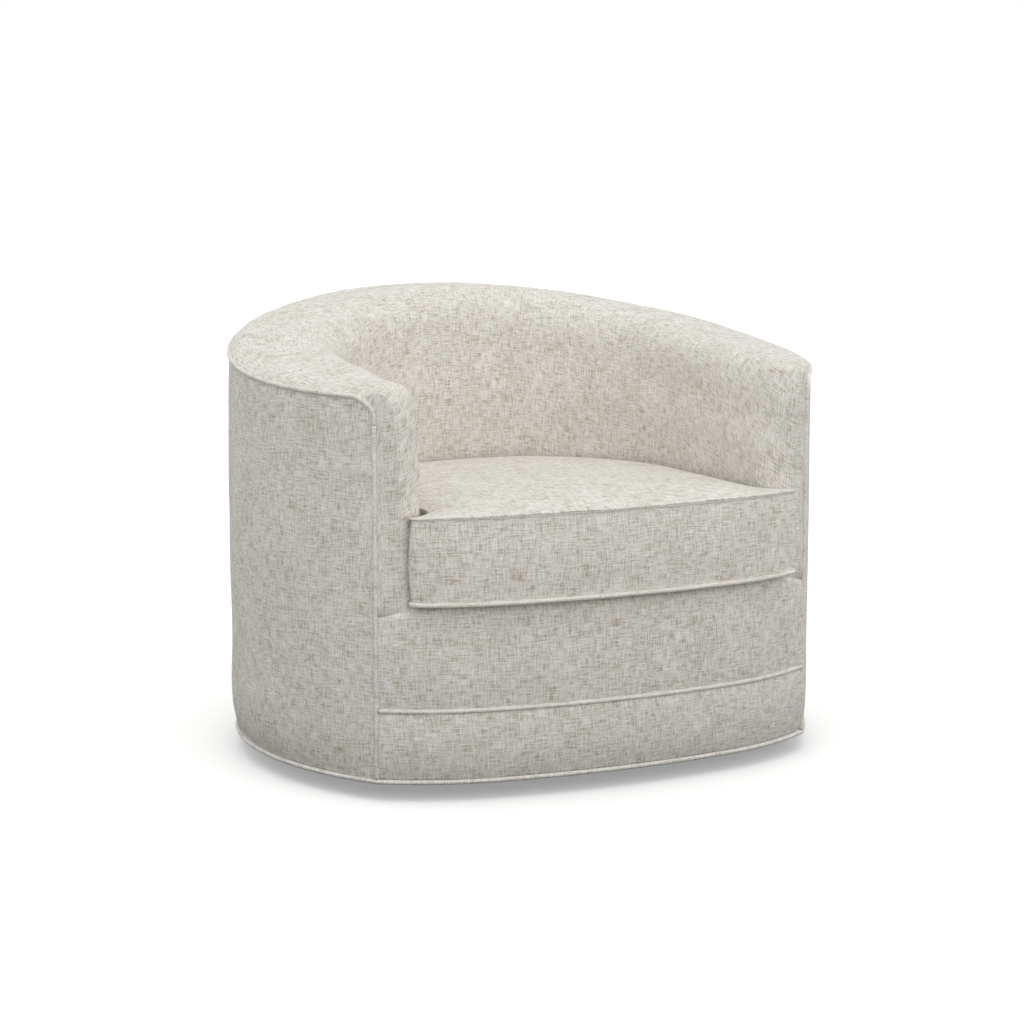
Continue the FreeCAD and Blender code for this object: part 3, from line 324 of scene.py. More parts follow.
def wall_section(ray, side):
    """One ring round the pad: from the outer edge over the roll, down the inner face, and back inside."""
    foot, shift, turn, past = ray
    share = turn / BARREL_END
    rise = ROLL_RISE + ARM_PLUMP * smooth(share, 0.40, 0.62) * (1 - smooth(share, 0.80, 0.97))
    high = crest(share) - ROLL_RISE + rise
    bulge = TOP_SWELL * fullness(share)
    out = from_back(turn)
    outer = np.array([0, BARREL_Y]) + out * (BARREL_R + bulge - 0.0015)
    top_foot = foot + shift * INNER_LEAN
    line = top_foot - outer
    length = np.hypot(*line)
    # How far the roll's edges fall, over which part of the wall's width and how squarely: the inner edge
    # sharpens along the arm and opens over the nose, the outer edge rounds along the arm
    arm = smooth(share, 0.42, 0.68)
    square = arm * (1 - 0.6 * smooth(share, 0.80, 0.93))
    inner_drop = INNER_DROP - 0.032 * square + 0.012 * smooth(past, 0, 1) - 0.050 * smooth(past, 1, 2)
    inner_part = 0.55 - 0.20 * square + 0.46 * smooth(past, 0, 1)
    inner_power = 3.0 - 0.8 * smooth(past, 0, 1)
    outer_part, outer_power = 0.45 + 0.35 * arm, 3.0 - arm
    lip = outer_level(turn, past)
    end_fall = high - rise - lip
    points = [[*(outer - out * 0.001), lip - 0.004]]
    for k in range(TOP_ROWS + 1):
        place = 0.5 - 0.5 * math.cos(math.pi * k / TOP_ROWS)
        far, near = length * place, length * (1 - place)
        outer_fall = drop(far, max(outer_part * length, 0.012), rise, outer_power)
        inner_fall = drop(near, max(inner_part * length, 0.012), inner_drop, inner_power)
        level = high - outer_fall - inner_fall - end_fall * (1 - place) ** 1.4
        points.append([*(outer + line * place), level])
    edge = points[-1][2]
    bottom = BORDER_TOP - 0.0145 if past > 0.35 else DECK_FOOT - 0.004
    for k in range(1, FACE_ROWS + 1):
        way = k / FACE_ROWS
        level = edge + (bottom - edge) * (0.35 * way + 0.65 * way ** 1.5)
        lean = INNER_LEAN * min(1.0, max(0.0, (level - DECK_FOOT) / (high - 0.09 - DECK_FOOT)))
        belly = 0.004 * math.sin(math.pi * smooth(level, CUSHION_CROWN, edge)) if past < 1 else 0.0
        inward = shift if past < 1 else np.array([0.0, 0.0])
        points.append([*(foot + shift * lean - inward * belly), level])
    # Back inside, under the roll
    base = foot + (outer - foot) * min(0.9, 0.03 / max(length, 0.03))
    if past > 1:
        base = foot + (outer - foot) * 0.6 + np.array([0, 0.012]) * (past - 1)
    points.append([*base, bottom])
    points.append([*(base + (outer - base) * 0.15), high - 0.060 if past < 1 else high - 0.075])
    points.append([*(outer - out * (0.012 if past < 1 else 0.006)), lip - 0.024])
    points = np.array(points)
    points[:, 0] *= side
    return points


def wall_cloth(sections):
    """Places on the cloth: along the wall, by the longer of its middle line and its face, and over the
    section from the roll's top."""
    middles = np.array([(section[1] + section[TOP_ROWS + 1]) / 2 for section in sections]) * [1, 1, 0]
    feet = np.array([section[TOP_ROWS + FACE_ROWS // 2] for section in sections]) * [1, 1, 0]
    steps = np.maximum(np.diff(run_lengths(middles)), np.diff(run_lengths(feet)))
    along = np.concatenate([[0.0], np.cumsum(steps)])
    along -= along[len(sections) // 2]
    cloth = []
    for section, place in zip(sections, along):
        over = run_lengths(np.vstack([section, section[:1]]))
        cloth.append([(place, high - over[TOP_ROWS // 2]) for high in over])
    return cloth


def ruffle(points, amount, size, seed):
    """Soft unevenness of padding, moved along X, Y and Z alike."""
    for spot in points:
        spot += np.array([waviness(spot, size, seed), waviness(spot, size, seed + 7),
                          waviness(spot, size, seed + 13)]) * amount


def mitre_depth(spot, side):
    """How deep the stitched dart is at a spot, from 0 to 1. It runs from the corner in over the arm's end."""
    way = np.array([-0.87, 0.49])
    away = np.array([spot[0] * side, spot[1]]) - (corner - [0.0005, 0.0])
    along = np.dot(away, way)
    across = abs(away[0] * way[1] - away[1] * way[0])
    if along < -0.004 or along > DART_LENGTH:
        return 0.0
    return smooth(DART_LENGTH - along, 0, 0.012) * math.exp(-(across / DART_WIDTH) ** 2)


def barrel_upholstery():
    stations = [(ray, -1) for ray in RAYS[:0:-1]] + [(ray, 1) for ray in RAYS]
    sections = [wall_section(ray, side) for ray, side in stations]
    cloth = wall_cloth(sections)
    for section, (ray, side) in zip(sections, stations):
        calm = 0.3 if ray[3] > 1.6 else 1.0
        visible = section[:TOP_ROWS + FACE_ROWS + 2]
        ruffle(visible, LONG_WAVE * calm, 0.075, 1.0)
        ruffle(visible, SHORT_WAVE * calm, 0.022, 4.0)
        if ray[3] > 0:
            for spot in visible[:TOP_ROWS + 4]:
                if spot[2] > ARM_TOP - 0.07:
                    spot[2] -= DART_DEPTH * mitre_depth(spot, side)
    return skin("barrel_upholstery", sections, cloth)


def barrel_spot(turn, radius, level):
    return np.array([math.sin(turn) * radius, BARREL_Y + math.cos(turn) * radius, level])


def outer_spot(turn, level):
    """Outside of the barrel's cover: swollen between the welts and tucked in under them."""
    share = turn / BARREL_END
    top = crest(share) - ROLL_RISE
    full = fullness(share)
    chord = (level - BASE_WELT) / (top - BASE_WELT)
    at = (0.250 - BASE_WELT) / (top - BASE_WELT)
    bulge = 0.007 * chord * (1 - chord) / (at * (1 - at)) + TOP_SWELL * chord * (chord - at) / (1 - at)
    bulge = max(bulge, -0.001) * full
    low = max(0.0, level - BASE_WELT)
    bulge += 0.0065 * full * math.exp(-((low - 0.055) / 0.065) ** 2) * (1 - math.exp(-low / 0.014))
    bulge -= 0.0030 * full * math.exp(-low / 0.010)
    tuck = 0.0024 * (math.exp(-(level - BASE_WELT - WELT) / 0.0055)
                     + math.exp(-(top - WELT - level) / 0.0045))
    side_tuck = 0.0016 * math.exp(-(BARREL_END - abs(turn)) * BARREL_R / 0.006)
    return barrel_spot(turn, BARREL_R + bulge - tuck - side_tuck, level)


def outside_skin():
    end = BARREL_END - (WELT - 0.0008) / BARREL_R
    turns = np.concatenate([np.linspace(-end, -end + 0.05, 9)[:-1],
                            np.linspace(-end + 0.05, end - 0.05, 150), np.linspace(end - 0.05, end, 9)[1:]])
    rows, cloth = [], []
    for turn in turns:
        top = outer_level(abs(turn)) - SEAM_GAP
        low = BASE_WELT + SEAM_GAP
        way = np.array([*from_back(turn), 0])
        levels = low + (top - low) * (0.5 - 0.5 * np.cos(np.pi * np.linspace(0, 1, 44)))
        outer = []
        for level in levels:
            spot = outer_spot(turn, level)
            spot += way * (0.0010 * waviness(spot, 0.11, 21.0) + 0.0003 * waviness(spot, 0.03, 5.0))
            outer.append(spot)
        rows.append(outer + [spot - way * TURNED_IN for spot in (outer[-1], outer[0])])
        cloth.append([(turn * BARREL_R, place)
                      for place in [spot[2] for spot in outer] + [top, low, low - 0.01]])
    return skin("outside_cover_cloth", rows, cloth)


def top_piping():
    """The welt round the wall's top, bending down at each arm's end into the corner welts."""
    half = []
    for turn in np.linspace(0, BARREL_END - 0.09, 120):
        half.append((turn, crest(turn / BARREL_END) - ROLL_RISE))
    for to_corner in np.linspace(0.09 * BARREL_R, 0.0, 46)[1:]:
        turn = BARREL_END - to_corner / BARREL_R
        half.append((turn, outer_level(turn)))
    right = []
    for turn, level in half:
        right.append(barrel_spot(turn, BARREL_R + TOP_SWELL * fullness(turn / BARREL_END), level))
    foot = right[-1][2]
    corner_top = foot - 0.012
    right.append([corner[0], corner[1], foot - 0.005])
    right.append([corner[0], corner[1], corner_top])
    left = [[-x, y, z] for x, y, z in right[:0:-1]]
    path = resample(left + right, 0.004)
    return piping("top_welt_cord", path), corner_top


def corner_piping(name, side, top):
    inset = corner - (corner - [0, BARREL_Y]) / BARREL_R * 0.0008 + np.array([0, 0.0008])
    path = []
    for level in np.linspace(BASE_WELT + WELT + 0.0005, top + 0.001, 120):
        blend = smooth(level, top - 0.035, top - 0.002)
        spot = inset + (corner - inset) * blend
        path.append([spot[0] * side, spot[1], level])
    return piping(name, path)


def base_piping():
    path = []
    for turn in np.linspace(-BARREL_END, BARREL_END, 240)[:-1]:
        path.append(barrel_spot(turn, BARREL_R, BASE_WELT))
    for share in np.linspace(1, -1, 150)[:-1]:
        path.append([*front_line(share)[0], BASE_WELT])
    path = resample(path, 0.006, closed=True)
    return piping("base_welt_cord", path, loop=True)


def band_piping():
    path = []
    for share in np.linspace(-1, 1, 160):
        share *= 1 - 0.004 / HALF_FRONT
        path.append([*front_line(share)[0], BAND_WELT])
    return piping("band_welt_cord", resample(path, 0.005))


def front_band(name, low, top_of, top_round, puff, seed):
    """A padded strip across the front, swollen between its seams."""
    spread = math.pi / 2 * 0.9
    shares = (1 - SEAM_GAP / HALF_FRONT) * np.sin(np.linspace(-1, 1, 130) * spread) / math.sin(spread)
    rows, cloth = [], []
    for share in shares:
        spot, out = front_line(share)
        top = top_of(share)
        outer = []
        straight = top - top_round
        for level in low + (straight - low) * (0.5 - 0.5 * np.cos(np.pi * np.linspace(0, 1, 26))):
            way = (level - low) / (top - low)
            swell = puff * math.sin(math.pi * min(1.0, way * 0.96 + 0.02)) ** 0.6
            tuck = 0.0020 * math.exp(-(level - low) / 0.005)
            if not top_round:
                tuck += 0.0035 * math.exp(-(level - low) / 0.014)
                tuck += 0.0020 * math.exp(-(top - level) / 0.005)
            ends = 0.0022 * math.exp(-(1 - abs(share)) * HALF_FRONT / 0.007)
            outer.append((swell - tuck - ends, level))
        if top_round:
            start = outer[-1][0]
            for turn in np.linspace(0, math.pi / 2, 14)[1:]:
                back = start - top_round * (1 - math.cos(turn))
                outer.append((back, straight + top_round * math.sin(turn)))
            outer.append((-PANEL_BACK, top - 0.001))
        else:
            outer.append((-PANEL_BACK, top))
        outer.append((-PANEL_BACK, low))
        ring = [np.array([*(spot + out * place), level]) for place, level in outer]
        for at in ring[:-2]:
            at[:2] += out * 0.0009 * waviness(at, 0.09, seed)
            at[:2] += out * 0.0003 * waviness(at, 0.025, seed + 5)
        rows.append(ring)
        over = run_lengths(outer + outer[:1])
        cloth.append([(share * HALF_FRONT, low + reach) for reach in over])
    return skin(name, rows, cloth)


# Loose cushion
CUSHION_HALF = INNER_HALF - CUSHION_CLEAR
CUSHION_FRONT = FRONT_FORWARD + 0.018
CROWN_RISE = 0.020
EDGE_ROLL = 0.0030
EAR = np.array([INNER_HALF + 0.046, corner[1] - NOSE_LEAD - 0.023])


def top_seam(y):
    """Level of the upper seam, which falls towards the back."""
    share = (y + CUSHION_FRONT) / (INNER_Y + CUSHION_HALF + CUSHION_FRONT)
    return TOP_SEAM + (REAR_SEAM - TOP_SEAM) * share


def close_plan(right, half, on_side, on_back, step):
    """Adds the straight side, the round back and the mirrored half to the front of a plan."""
    side = [np.array([half, y]) for y in np.linspace(right[-1][1], INNER_Y, on_side)[1:]]
    back = [np.array([0, INNER_Y]) + from_right(angle) * half
            for angle in np.linspace(0, math.pi / 2, on_back)[1:]]
    right = right + side + back
    left = [point * [-1, 1] for point in right[-2:0:-1]]
    return resample(right + left, step, closed=True)


def cushion_line():
    """The cushion's seam in plan: a bowed front, ears round the arm's nose, straight sides, round back."""
    front_r, flat_half = 1.5, 0.190
    turn = math.asin(flat_half / front_r)
    centre = np.array([0, front_r - CUSHION_FRONT])
    right = []
    for angle in np.linspace(0, turn, 40):
        right.append(centre + np.array([math.sin(angle), -math.cos(angle)]) * front_r)
    joint = right[-1]
    chord = EAR - joint
    lean = math.atan2(chord[1], chord[0]) - turn
    radius = np.hypot(*chord) / 2 / math.sin(lean)
    bend_centre = joint + np.array([-math.sin(turn), math.cos(turn)]) * radius
    for angle in np.linspace(0, 2 * lean, 46)[1:]:
        way = turn + angle - math.pi / 2
        right.append(bend_centre + from_right(way) * radius)
    nose = np.array([INNER_HALF + NOSE_R, NOSE_Y])
    clear = NOSE_R + 0.0035 + CUSHION_CLEAR
    ear = np.array([EAR[0], nose[1] - math.sqrt(clear ** 2 - (nose[0] - EAR[0]) ** 2)])
    waist = np.array([CUSHION_HALF, nose[1] - math.sqrt(clear ** 2 - (nose[0] - CUSHION_HALF) ** 2)])
    for place in np.linspace(0, 1, 6)[1:]:
        right.append(EAR + (ear - EAR) * place)
    first = math.atan2(ear[1] - nose[1], ear[0] - nose[0])
    last = math.atan2(waist[1] - nose[1], waist[0] - nose[0])
    if last > first:
        last -= 2 * math.pi
    for angle in np.linspace(first, last, 30)[1:]:
        right.append(nose + from_right(angle) * clear)
    line = close_plan(right, CUSHION_HALF, 50, 90, 0.0034)
    for _ in range(8):
        line = line * 0.5 + (np.roll(line, 1, axis=0) + np.roll(line, -1, axis=0)) * 0.25
    return line


def outward_of(line):
    ways = np.roll(line, -1, axis=0) - np.roll(line, 1, axis=0)
    out = np.stack([ways[:, 1], -ways[:, 0]], axis=1)
    return out / np.linalg.norm(out, axis=1)[:, None]


def pillow_field(line):
    """How a stuffed panel lifts over its plan: zero at the seam, one where it is fullest."""
    step = 0.004
    low = line.min(axis=0) - 2 * step
    size = np.ceil((line.max(axis=0) + 2 * step - low) / step).astype(int) + 1
    xs = low[0] + step * np.arange(size[0])
    ys = low[1] + step * np.arange(size[1])
    inside = np.zeros(size, dtype=bool)
    grid_x, grid_y = np.meshgrid(xs, ys, indexing="ij")
    for (x0, y0), (x1, y1) in zip(line, np.roll(line, -1, axis=0)):
        if y0 == y1:
            continue
        hit = (grid_y > min(y0, y1)) & (grid_y <= max(y0, y1))
        cross = x0 + (grid_y - y0) * (x1 - x0) / (y1 - y0)
        inside ^= hit & (cross > grid_x)
    field = np.zeros(size)
    for _ in range(2600):
        around = (np.roll(field, 1, 0) + np.roll(field, -1, 0)
                  + np.roll(field, 1, 1) + np.roll(field, -1, 1)) / 4
        field = np.where(inside, around + 1.0, 0.0)
    field /= field.max()
    return low, step, field


def field_at(field, spot):
    low, step, values = field
    place = (np.asarray(spot) - low) / step
    i, j = int(place[0]), int(place[1])
    if i < 0 or j < 0 or i + 1 >= values.shape[0] or j + 1 >= values.shape[1]:
        return 0.0
    u, v = place[0] - i, place[1] - j
    return ((1 - u) * (1 - v) * values[i, j] + u * (1 - v) * values[i + 1, j]
            + (1 - u) * v * values[i, j + 1] + u * v * values[i + 1, j + 1])


def cushion_cover(line, field):
    """Bottom panel, boxing and crowned top panel, closed, with each panel's own run of the cloth."""
    out = outward_of(line)
    around = run_lengths(np.vstack([line, line[:1]]))
    centre = (line.max(axis=0) + line.min(axis=0)) / 2
    shares = np.linspace(0, 1, 40)[1:] ** 1.5
    levels = np.linspace(0, 1, 30)
    rings = []
    for share in shares[::-1]:
        ring = []
        for plan in centre + (line - centre) * (1 - share * 0.985):
            rise = field_at(field, plan)
            level = LOW_SEAM - (LOW_SEAM - CUSHION_BOTTOM - 0.0004) * min(1.0, rise * 14) ** 0.6
            ring.append(np.array([*plan, level]))
        rings.append(ring)
    for share in levels:
        belly = math.sin(math.pi * share)
        ring = []
        for plan, way in zip(line, out):
            push = -CLOTH_EDGE + 0.0050 * belly ** 0.7
            if plan[1] > EAR[1] + 0.030:
                push = -CLOTH_EDGE - 0.0015 * belly
            spot = np.array([*(plan + way * push), LOW_SEAM + (top_seam(plan[1]) - LOW_SEAM) * share])
            wave = LONG_WAVE * belly * waviness(spot, 0.085, 31.0) + SHORT_WAVE * waviness(spot, 0.026, 37.0)
            spot[:2] += way * wave
            ring.append(spot)
        rings.append(ring)
    for share in shares:
        ring = []
        for plan, way in zip(centre + (line - centre) * (1 - share * 0.985), out):
            rise = field_at(field, plan)
            lift = CLOTH_EDGE * min(1.0, (rise * 30) ** 0.5) + CROWN_RISE * rise ** 0.80
            spot = np.array([*plan, top_seam(plan[1]) + lift])
            spot[:2] += way * EDGE_ROLL * math.sin(math.pi * min(1.0, share / 0.02 + 0.12))
            wave = 0.0014 * waviness(spot, 0.12, 41.0) + SHORT_WAVE * waviness(spot, 0.03, 43.0)
            spot[2] += min(1.0, share * 6) * wave
            if share < 0.02:
                spot[2] -= 0.0006
            ring.append(spot)
        rings.append(ring)
    boxing = range(len(shares), len(shares) + len(levels) - 1)
    return lidded("seat_cushion_cover", rings,
                  lambda row, k, spot: (around[k], spot[2]) if row in boxing else (spot[0], spot[1]))


def deck_line():
    """The seat platform in plan, inside the arms and behind the front band."""
    half = INNER_HALF - 0.0006
    right = []
    for share in np.linspace(0, 1, 140):
        spot, out = front_line(share)
        spot = spot - out * DECK_INSET
        if spot[0] > half:
            break
        right.append(spot)
    right.append(np.array([half, right[-1][1] + (half - right[-1][0]) * 0.45]))
    return close_plan(right, half, 40, 70, 0.006)


def deck_cover():
    """The padded seat platform under the cushion, in plain deck cloth."""
    line = deck_line()
    centre = np.array([0.0, -0.09])
    rings = [(DECK_FOOT, 0.45), (DECK_FOOT, 0.0)]
    for turn in np.linspace(0, math.pi / 2, 7):
        fall = 0.012 * (1 - math.sin(turn))
        rings.append((DECK_TOP - 0.0025 - fall, 0.030 * (1 - math.cos(turn))))
    for share in np.linspace(0.03, 1.0, 26)[1:]:
        rings.append((DECK_TOP - 0.0025 * (1 - smooth(share, 0.03, 0.5)), share))
    rows = []
    for level, share in rings:
        row = []
        for plan in centre + (line - centre) * (1 - share * 0.98):
            spot = np.array([*plan, level])
            if share > 0.03 and level > DECK_FOOT + 0.01:
                spot[2] -= 0.0009 * (1 + waviness(spot, 0.08, 51.0))
            row.append(spot)
        rows.append(row)
    return lidded("deck_cover", rows, lambda row, k, spot: (spot[0], spot[1] - spot[2]))


def dust_sheet():
    """Thin cloth stretched under the board round the bearing, sagging a little between its staples."""
    low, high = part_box("dust_cover")
    level = (low[2] + high[2]) / 2
    front_reach, shoulder_reach = FRONT_R - SHEET_INSET, SHOULDER_R - SHEET_INSET
    line = []
    for angle in np.linspace(0, 2 * math.pi, 361)[:-1]:
        way = from_back(angle)
        near, far = 0.1, 0.6
        for _ in range(30):
            place = (near + far) / 2
            spot = way * place
            inside = np.hypot(spot[0], spot[1] - BARREL_Y) < BARREL_R - 0.0135
            x = abs(spot[0])
            if x > front_reach * math.sin(flat_turn):
                edge = shoulder[1] - math.sqrt(max(0.0, shoulder_reach ** 2 - (x - shoulder[0]) ** 2))
            else:
                edge = FRONT_Y - math.sqrt(front_reach ** 2 - x ** 2)
            inside = inside and spot[1] > edge
            near, far = (place, far) if inside else (near, place)
        line.append(way * near)
    line = np.array(line)
    rows, cloth = [], []
    half = 0.00035
    for k in range(360):
        reach = np.hypot(*line[k])
        way = line[k] / reach
        top, under = [], []
        for share in np.linspace(0, 1, 26):
            spot = way * (SHEET_HOLE + (reach - SHEET_HOLE) * share)
            pull = 0.0007 * share * math.cos(STAPLES * 2 * math.pi * k / 360)
            wave = 0.0006 * waviness((*spot, 0), 0.06, 61.0)
            sag = min(wave - 0.0016 * math.sin(math.pi * share) - pull, 0.0)
            top.append([*spot, level + half + sag])
            under.append([*spot, level - half + sag])
        ring = top + under[::-1]
        rows.append(ring)
        cloth.append([(spot[0], spot[1]) for spot in ring] + [(ring[0][0], ring[0][1])])
    cloth.append(cloth[0])
    thing = skin("dust_cover_sheet", rows, cloth, loop=True)
    area = 0.5 * abs(np.sum(line[:, 0] * np.roll(line[:, 1], -1) - np.roll(line[:, 0], -1) * line[:, 1]))
    area -= math.pi * SHEET_HOLE ** 2
    size = line.max(axis=0) - line.min(axis=0)
    return thing, (float(size[0]), float(size[1])), float(area)


def zip_ribbon():
    """Woven zip tape with its row of coils, round the back of the boxing."""
    low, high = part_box("zip_tape")
    middle_level = (low[2] + high[2]) / 2
    height = high[2] - low[2]
    face = high[1] - INNER_Y
    rows, cloth = [], []
    for angle in np.linspace(-ZIP_HALF_TURN, ZIP_HALF_TURN, 700):
        way = from_back(angle)
        tooth = 0.00035 * (1 + math.cos(angle * face / TOOTH_PITCH * math.pi))
        half = [(0.5, 0.0011), (0.42, 0.0002), (0.12, 0.0002), (0.09, tooth * 0.4 - 0.0002),
                (0.03, tooth - 0.0004)]
        ring = []
        for level, depth in [(-level, depth) for level, depth in half] + half[::-1]:
            spot = way * (face - 0.0002 - max(depth, 0.0) * 0.9)
            ring.append([spot[0], INNER_Y + spot[1], middle_level + level * height])
        rows.append(ring)
        cloth.append([(angle * face, spot[2]) for spot in ring] + [(angle * face, ring[0][2])])
    return skin("zip_tape_ribbon", rows, cloth)


# Materials
class Surface:
    """A node material, built up call by call."""

    def __init__(self, name, roughness):
        self.material = bpy.data.materials.new(name)
        self.material.use_nodes = True
        self.tree = self.material.node_tree
        self.shader = next(node for node in self.tree.nodes if node.type == "BSDF_PRINCIPLED")
        self.shader.inputs["Roughness"].default_value = roughness
        self.place = 0

    def node(self, kind, sockets=(), **settings):
        """A node with its settings, and each socket named in sockets linked or set to its value."""
        made = self.tree.nodes.new(kind)
        made.location = (-220 * (self.place % 9) - 300, -260 * (self.place // 9))
        self.place += 1
        for key, value in settings.items():
            setattr(made, key, value)
        for key, value in dict(sockets).items():
            self.feed(made.inputs[key], value)
        return made

    def feed(self, socket, value):
        if isinstance(value, bpy.types.NodeSocket):
            self.tree.links.new(value, socket)
        else:
            socket.default_value = value

    def cloth(self, scale_u=1.0, scale_v=1.0, turn=0.0):
        """The place on the cloth in metres, stretched for streaks one way or the other."""
        place = self.node("ShaderNodeUVMap", uv_map="cloth").outputs["UV"]
        return self.node("ShaderNodeMapping", {"Vector": place, "Rotation": (0, 0, turn),
                                               "Scale": (scale_u, scale_v, 1)}).outputs["Vector"]

    def solid(self, scale=(1, 1, 1)):
        place = self.node("ShaderNodeTexCoord").outputs["Object"]
        return self.node("ShaderNodeMapping", {"Vector": place, "Scale": scale}).outputs["Vector"]

    def noise(self, vector, scale, detail, roughness, distortion=0.0):
        sockets = {"Vector": vector, "Scale": scale, "Detail": detail, "Roughness": roughness,
                   "Distortion": distortion}
        return self.node("ShaderNodeTexNoise", sockets).outputs["Fac"]

    def wave(self, vector, scale, direction, distortion):
        sockets = {"Vector": vector, "Scale": scale, "Distortion": distortion, "Detail": 1.0}
        return self.node("ShaderNodeTexWave", sockets, wave_type="BANDS",
                         bands_direction=direction).outputs["Fac"]

    def maths(self, operation, first, second):
        return self.node("ShaderNodeMath", {0: first, 1: second}, operation=operation).outputs[0]

    def plus(self, first, second):
        return self.maths("ADD", first, second)

    def times(self, first, second):
        return self.maths("MULTIPLY", first, second)

    def between(self, value, low, high, to_low=0.0, to_high=1.0):
        sockets = {"Value": value, "From Min": low, "From Max": high, "To Min": to_low, "To Max": to_high}
        return self.node("ShaderNodeMapRange", sockets, interpolation_type="SMOOTHSTEP").outputs["Result"]

    def mixed(self, share, first, second):
        made = self.node("ShaderNodeMix", {"Factor": share}, data_type="RGBA")
        colours = [socket for socket in made.inputs if socket.type == "RGBA"]
        for socket, value in zip(colours, (first, second)):
            self.feed(socket, value if isinstance(value, bpy.types.NodeSocket) else (*value, 1.0))
        return next(socket for socket in made.outputs if socket.type == "RGBA")

    def colour(self, value):
        self.feed(self.shader.inputs["Base Color"], value)

    def raise_by(self, height, distance, strength):
        made = self.node("ShaderNodeBump", {"Strength": strength, "Distance": distance, "Height": height})
        self.feed(self.shader.inputs["Normal"], made.outputs["Normal"])


def linen(name, calm=0.0):
    """Off-white slub linen: a dense cross weave of pale yarns with tan and grey ones showing through.
    A calmer cloth has less fleck and a flatter weave."""
    cloth = Surface(name, 0.92)
    cloth.shader.inputs["Sheen Weight"].default_value = 0.10
    cloth.shader.inputs["Sheen Roughness"].default_value = 0.6
    cloth.shader.inputs["Specular IOR Level"].default_value = 0.15
    across = cloth.noise(cloth.cloth(42, 500), 1.0, 3.0, 0.60)
    upward = cloth.noise(cloth.cloth(500, 42), 1.0, 3.0, 0.60)
    across_fine = cloth.noise(cloth.cloth(230, 1250), 1.0, 1.0, 0.5)
    upward_fine = cloth.noise(cloth.cloth(1250, 230), 1.0, 1.0, 0.5)
    patches = cloth.noise(cloth.cloth(75, 75), 1.0, 4.0, 0.68)
    broad = cloth.noise(cloth.cloth(17, 17), 1.0, 2.0, 0.5)
    hue = cloth.noise(cloth.cloth(48, 48, 0.4), 1.0, 3.0, 0.6)
    weave = cloth.plus(across, upward)
    fine = cloth.times(cloth.plus(across_fine, upward_fine), 0.45)
    tone = cloth.plus(weave, fine)
    tone = cloth.plus(tone, cloth.times(patches, 0.45))
    tone = cloth.plus(tone, cloth.times(broad, 0.25))
    level = cloth.between(tone, 1.43 - 0.25 * calm, 2.16)

    shade = cloth.mixed(cloth.between(hue, 0.42, 0.60), (0.455, 0.437, 0.395), (0.500, 0.420, 0.320))
    middle_tone = cloth.mixed(cloth.between(level, 0.0, 0.5), shade, (0.735, 0.712, 0.656))
    base = cloth.mixed(cloth.between(level, 0.5, 1.0), middle_tone, (0.905, 0.893, 0.856))
    tan = cloth.times(cloth.between(patches, 0.47, 0.36), cloth.between(weave, 1.06, 0.86))
    base = cloth.mixed(cloth.times(tan, 0.55 - 0.30 * calm), base, (0.480, 0.375, 0.255))
    cloth.colour(base)

    yarns = cloth.times(cloth.wave(cloth.cloth(), 270.0, "X", 0.6),
                        cloth.wave(cloth.cloth(), 270.0, "Y", 0.6))
    height = cloth.plus(cloth.times(yarns, 0.30), cloth.times(tone, 0.45))
    cloth.raise_by(height, 0.0008, 0.28 - 0.14 * calm)
    return cloth.material


def plain_cloth(name, colour, dark, pitch):
    """A plain close weave with a little unevenness."""
    cloth = Surface(name, 0.9)
    flat = cloth.cloth()
    shade = cloth.noise(flat, 60.0, 3.0, 0.6)
    warp = cloth.wave(flat, pitch, "X", 0.4)
    weft = cloth.wave(flat, pitch, "Y", 0.4)
    weave = cloth.times(warp, weft)
    mix = cloth.plus(cloth.times(weave, 0.5), cloth.times(shade, 0.6))
    cloth.colour(cloth.mixed(cloth.between(mix, 0.25, 0.75), dark, colour))
    cloth.raise_by(weave, 0.0006, 0.5)
    return cloth.material


def timber(name, pale, dark, along, ply=False):
    """Sawn wood: long grain, pores and a little uneven stain; ply adds its layers on Z."""
    wood = Surface(name, 0.62)
    scale = [38.0, 38.0, 38.0]
    scale[along] = 3.2
    place = wood.solid(tuple(scale))
    grain = wood.noise(place, 1.0, 5.0, 0.62, 0.7)
    pores = wood.noise(wood.solid(tuple(9 * value for value in scale)), 1.0, 2.0, 0.5)
    shade = wood.mixed(wood.between(grain, 0.32, 0.68), pale, dark)
    pore_share = wood.between(pores, 0.60, 0.72, 0.0, 0.45)
    shade = wood.mixed(pore_share, shade, tuple(value * 0.45 for value in dark))
    if ply:
        layers = wood.wave(wood.solid(), 105.0, "Z", 0.3)
        shade = wood.mixed(wood.between(layers, 0.35, 0.65, 0.0, 0.35), shade, dark)
    wood.colour(shade)
    wood.raise_by(wood.plus(grain, wood.times(pores, 0.4)), 0.0006, 0.4)
    return wood.material


def metal(name, colour, roughness, brushed=(1, 1, 1), spots=0.25):
    """Plated steel: fine rolling marks and faint stains."""
    steel = Surface(name, roughness)
    steel.shader.inputs["Metallic"].default_value = 1.0
    marks = steel.noise(steel.solid(tuple(220 * value for value in brushed)), 1.0, 3.0, 0.6)
    stains = steel.noise(steel.solid(), 35.0, 3.0, 0.6)
    stained = steel.between(stains, 0.45, 0.75, 0.0, spots)
    worn = steel.mixed(stained, colour, tuple(v * 0.55 for v in colour))
    rolled = steel.between(marks, 0.4, 0.7, 0.0, 0.3)
    steel.colour(steel.mixed(rolled, worn, tuple(min(1, v * 1.25) for v in colour)))
    level = steel.between(marks, 0.3, 0.7, roughness - 0.08, roughness + 0.14)
    steel.feed(steel.shader.inputs["Roughness"], level)
    steel.raise_by(marks, 0.0002, 0.35)
    return steel.material


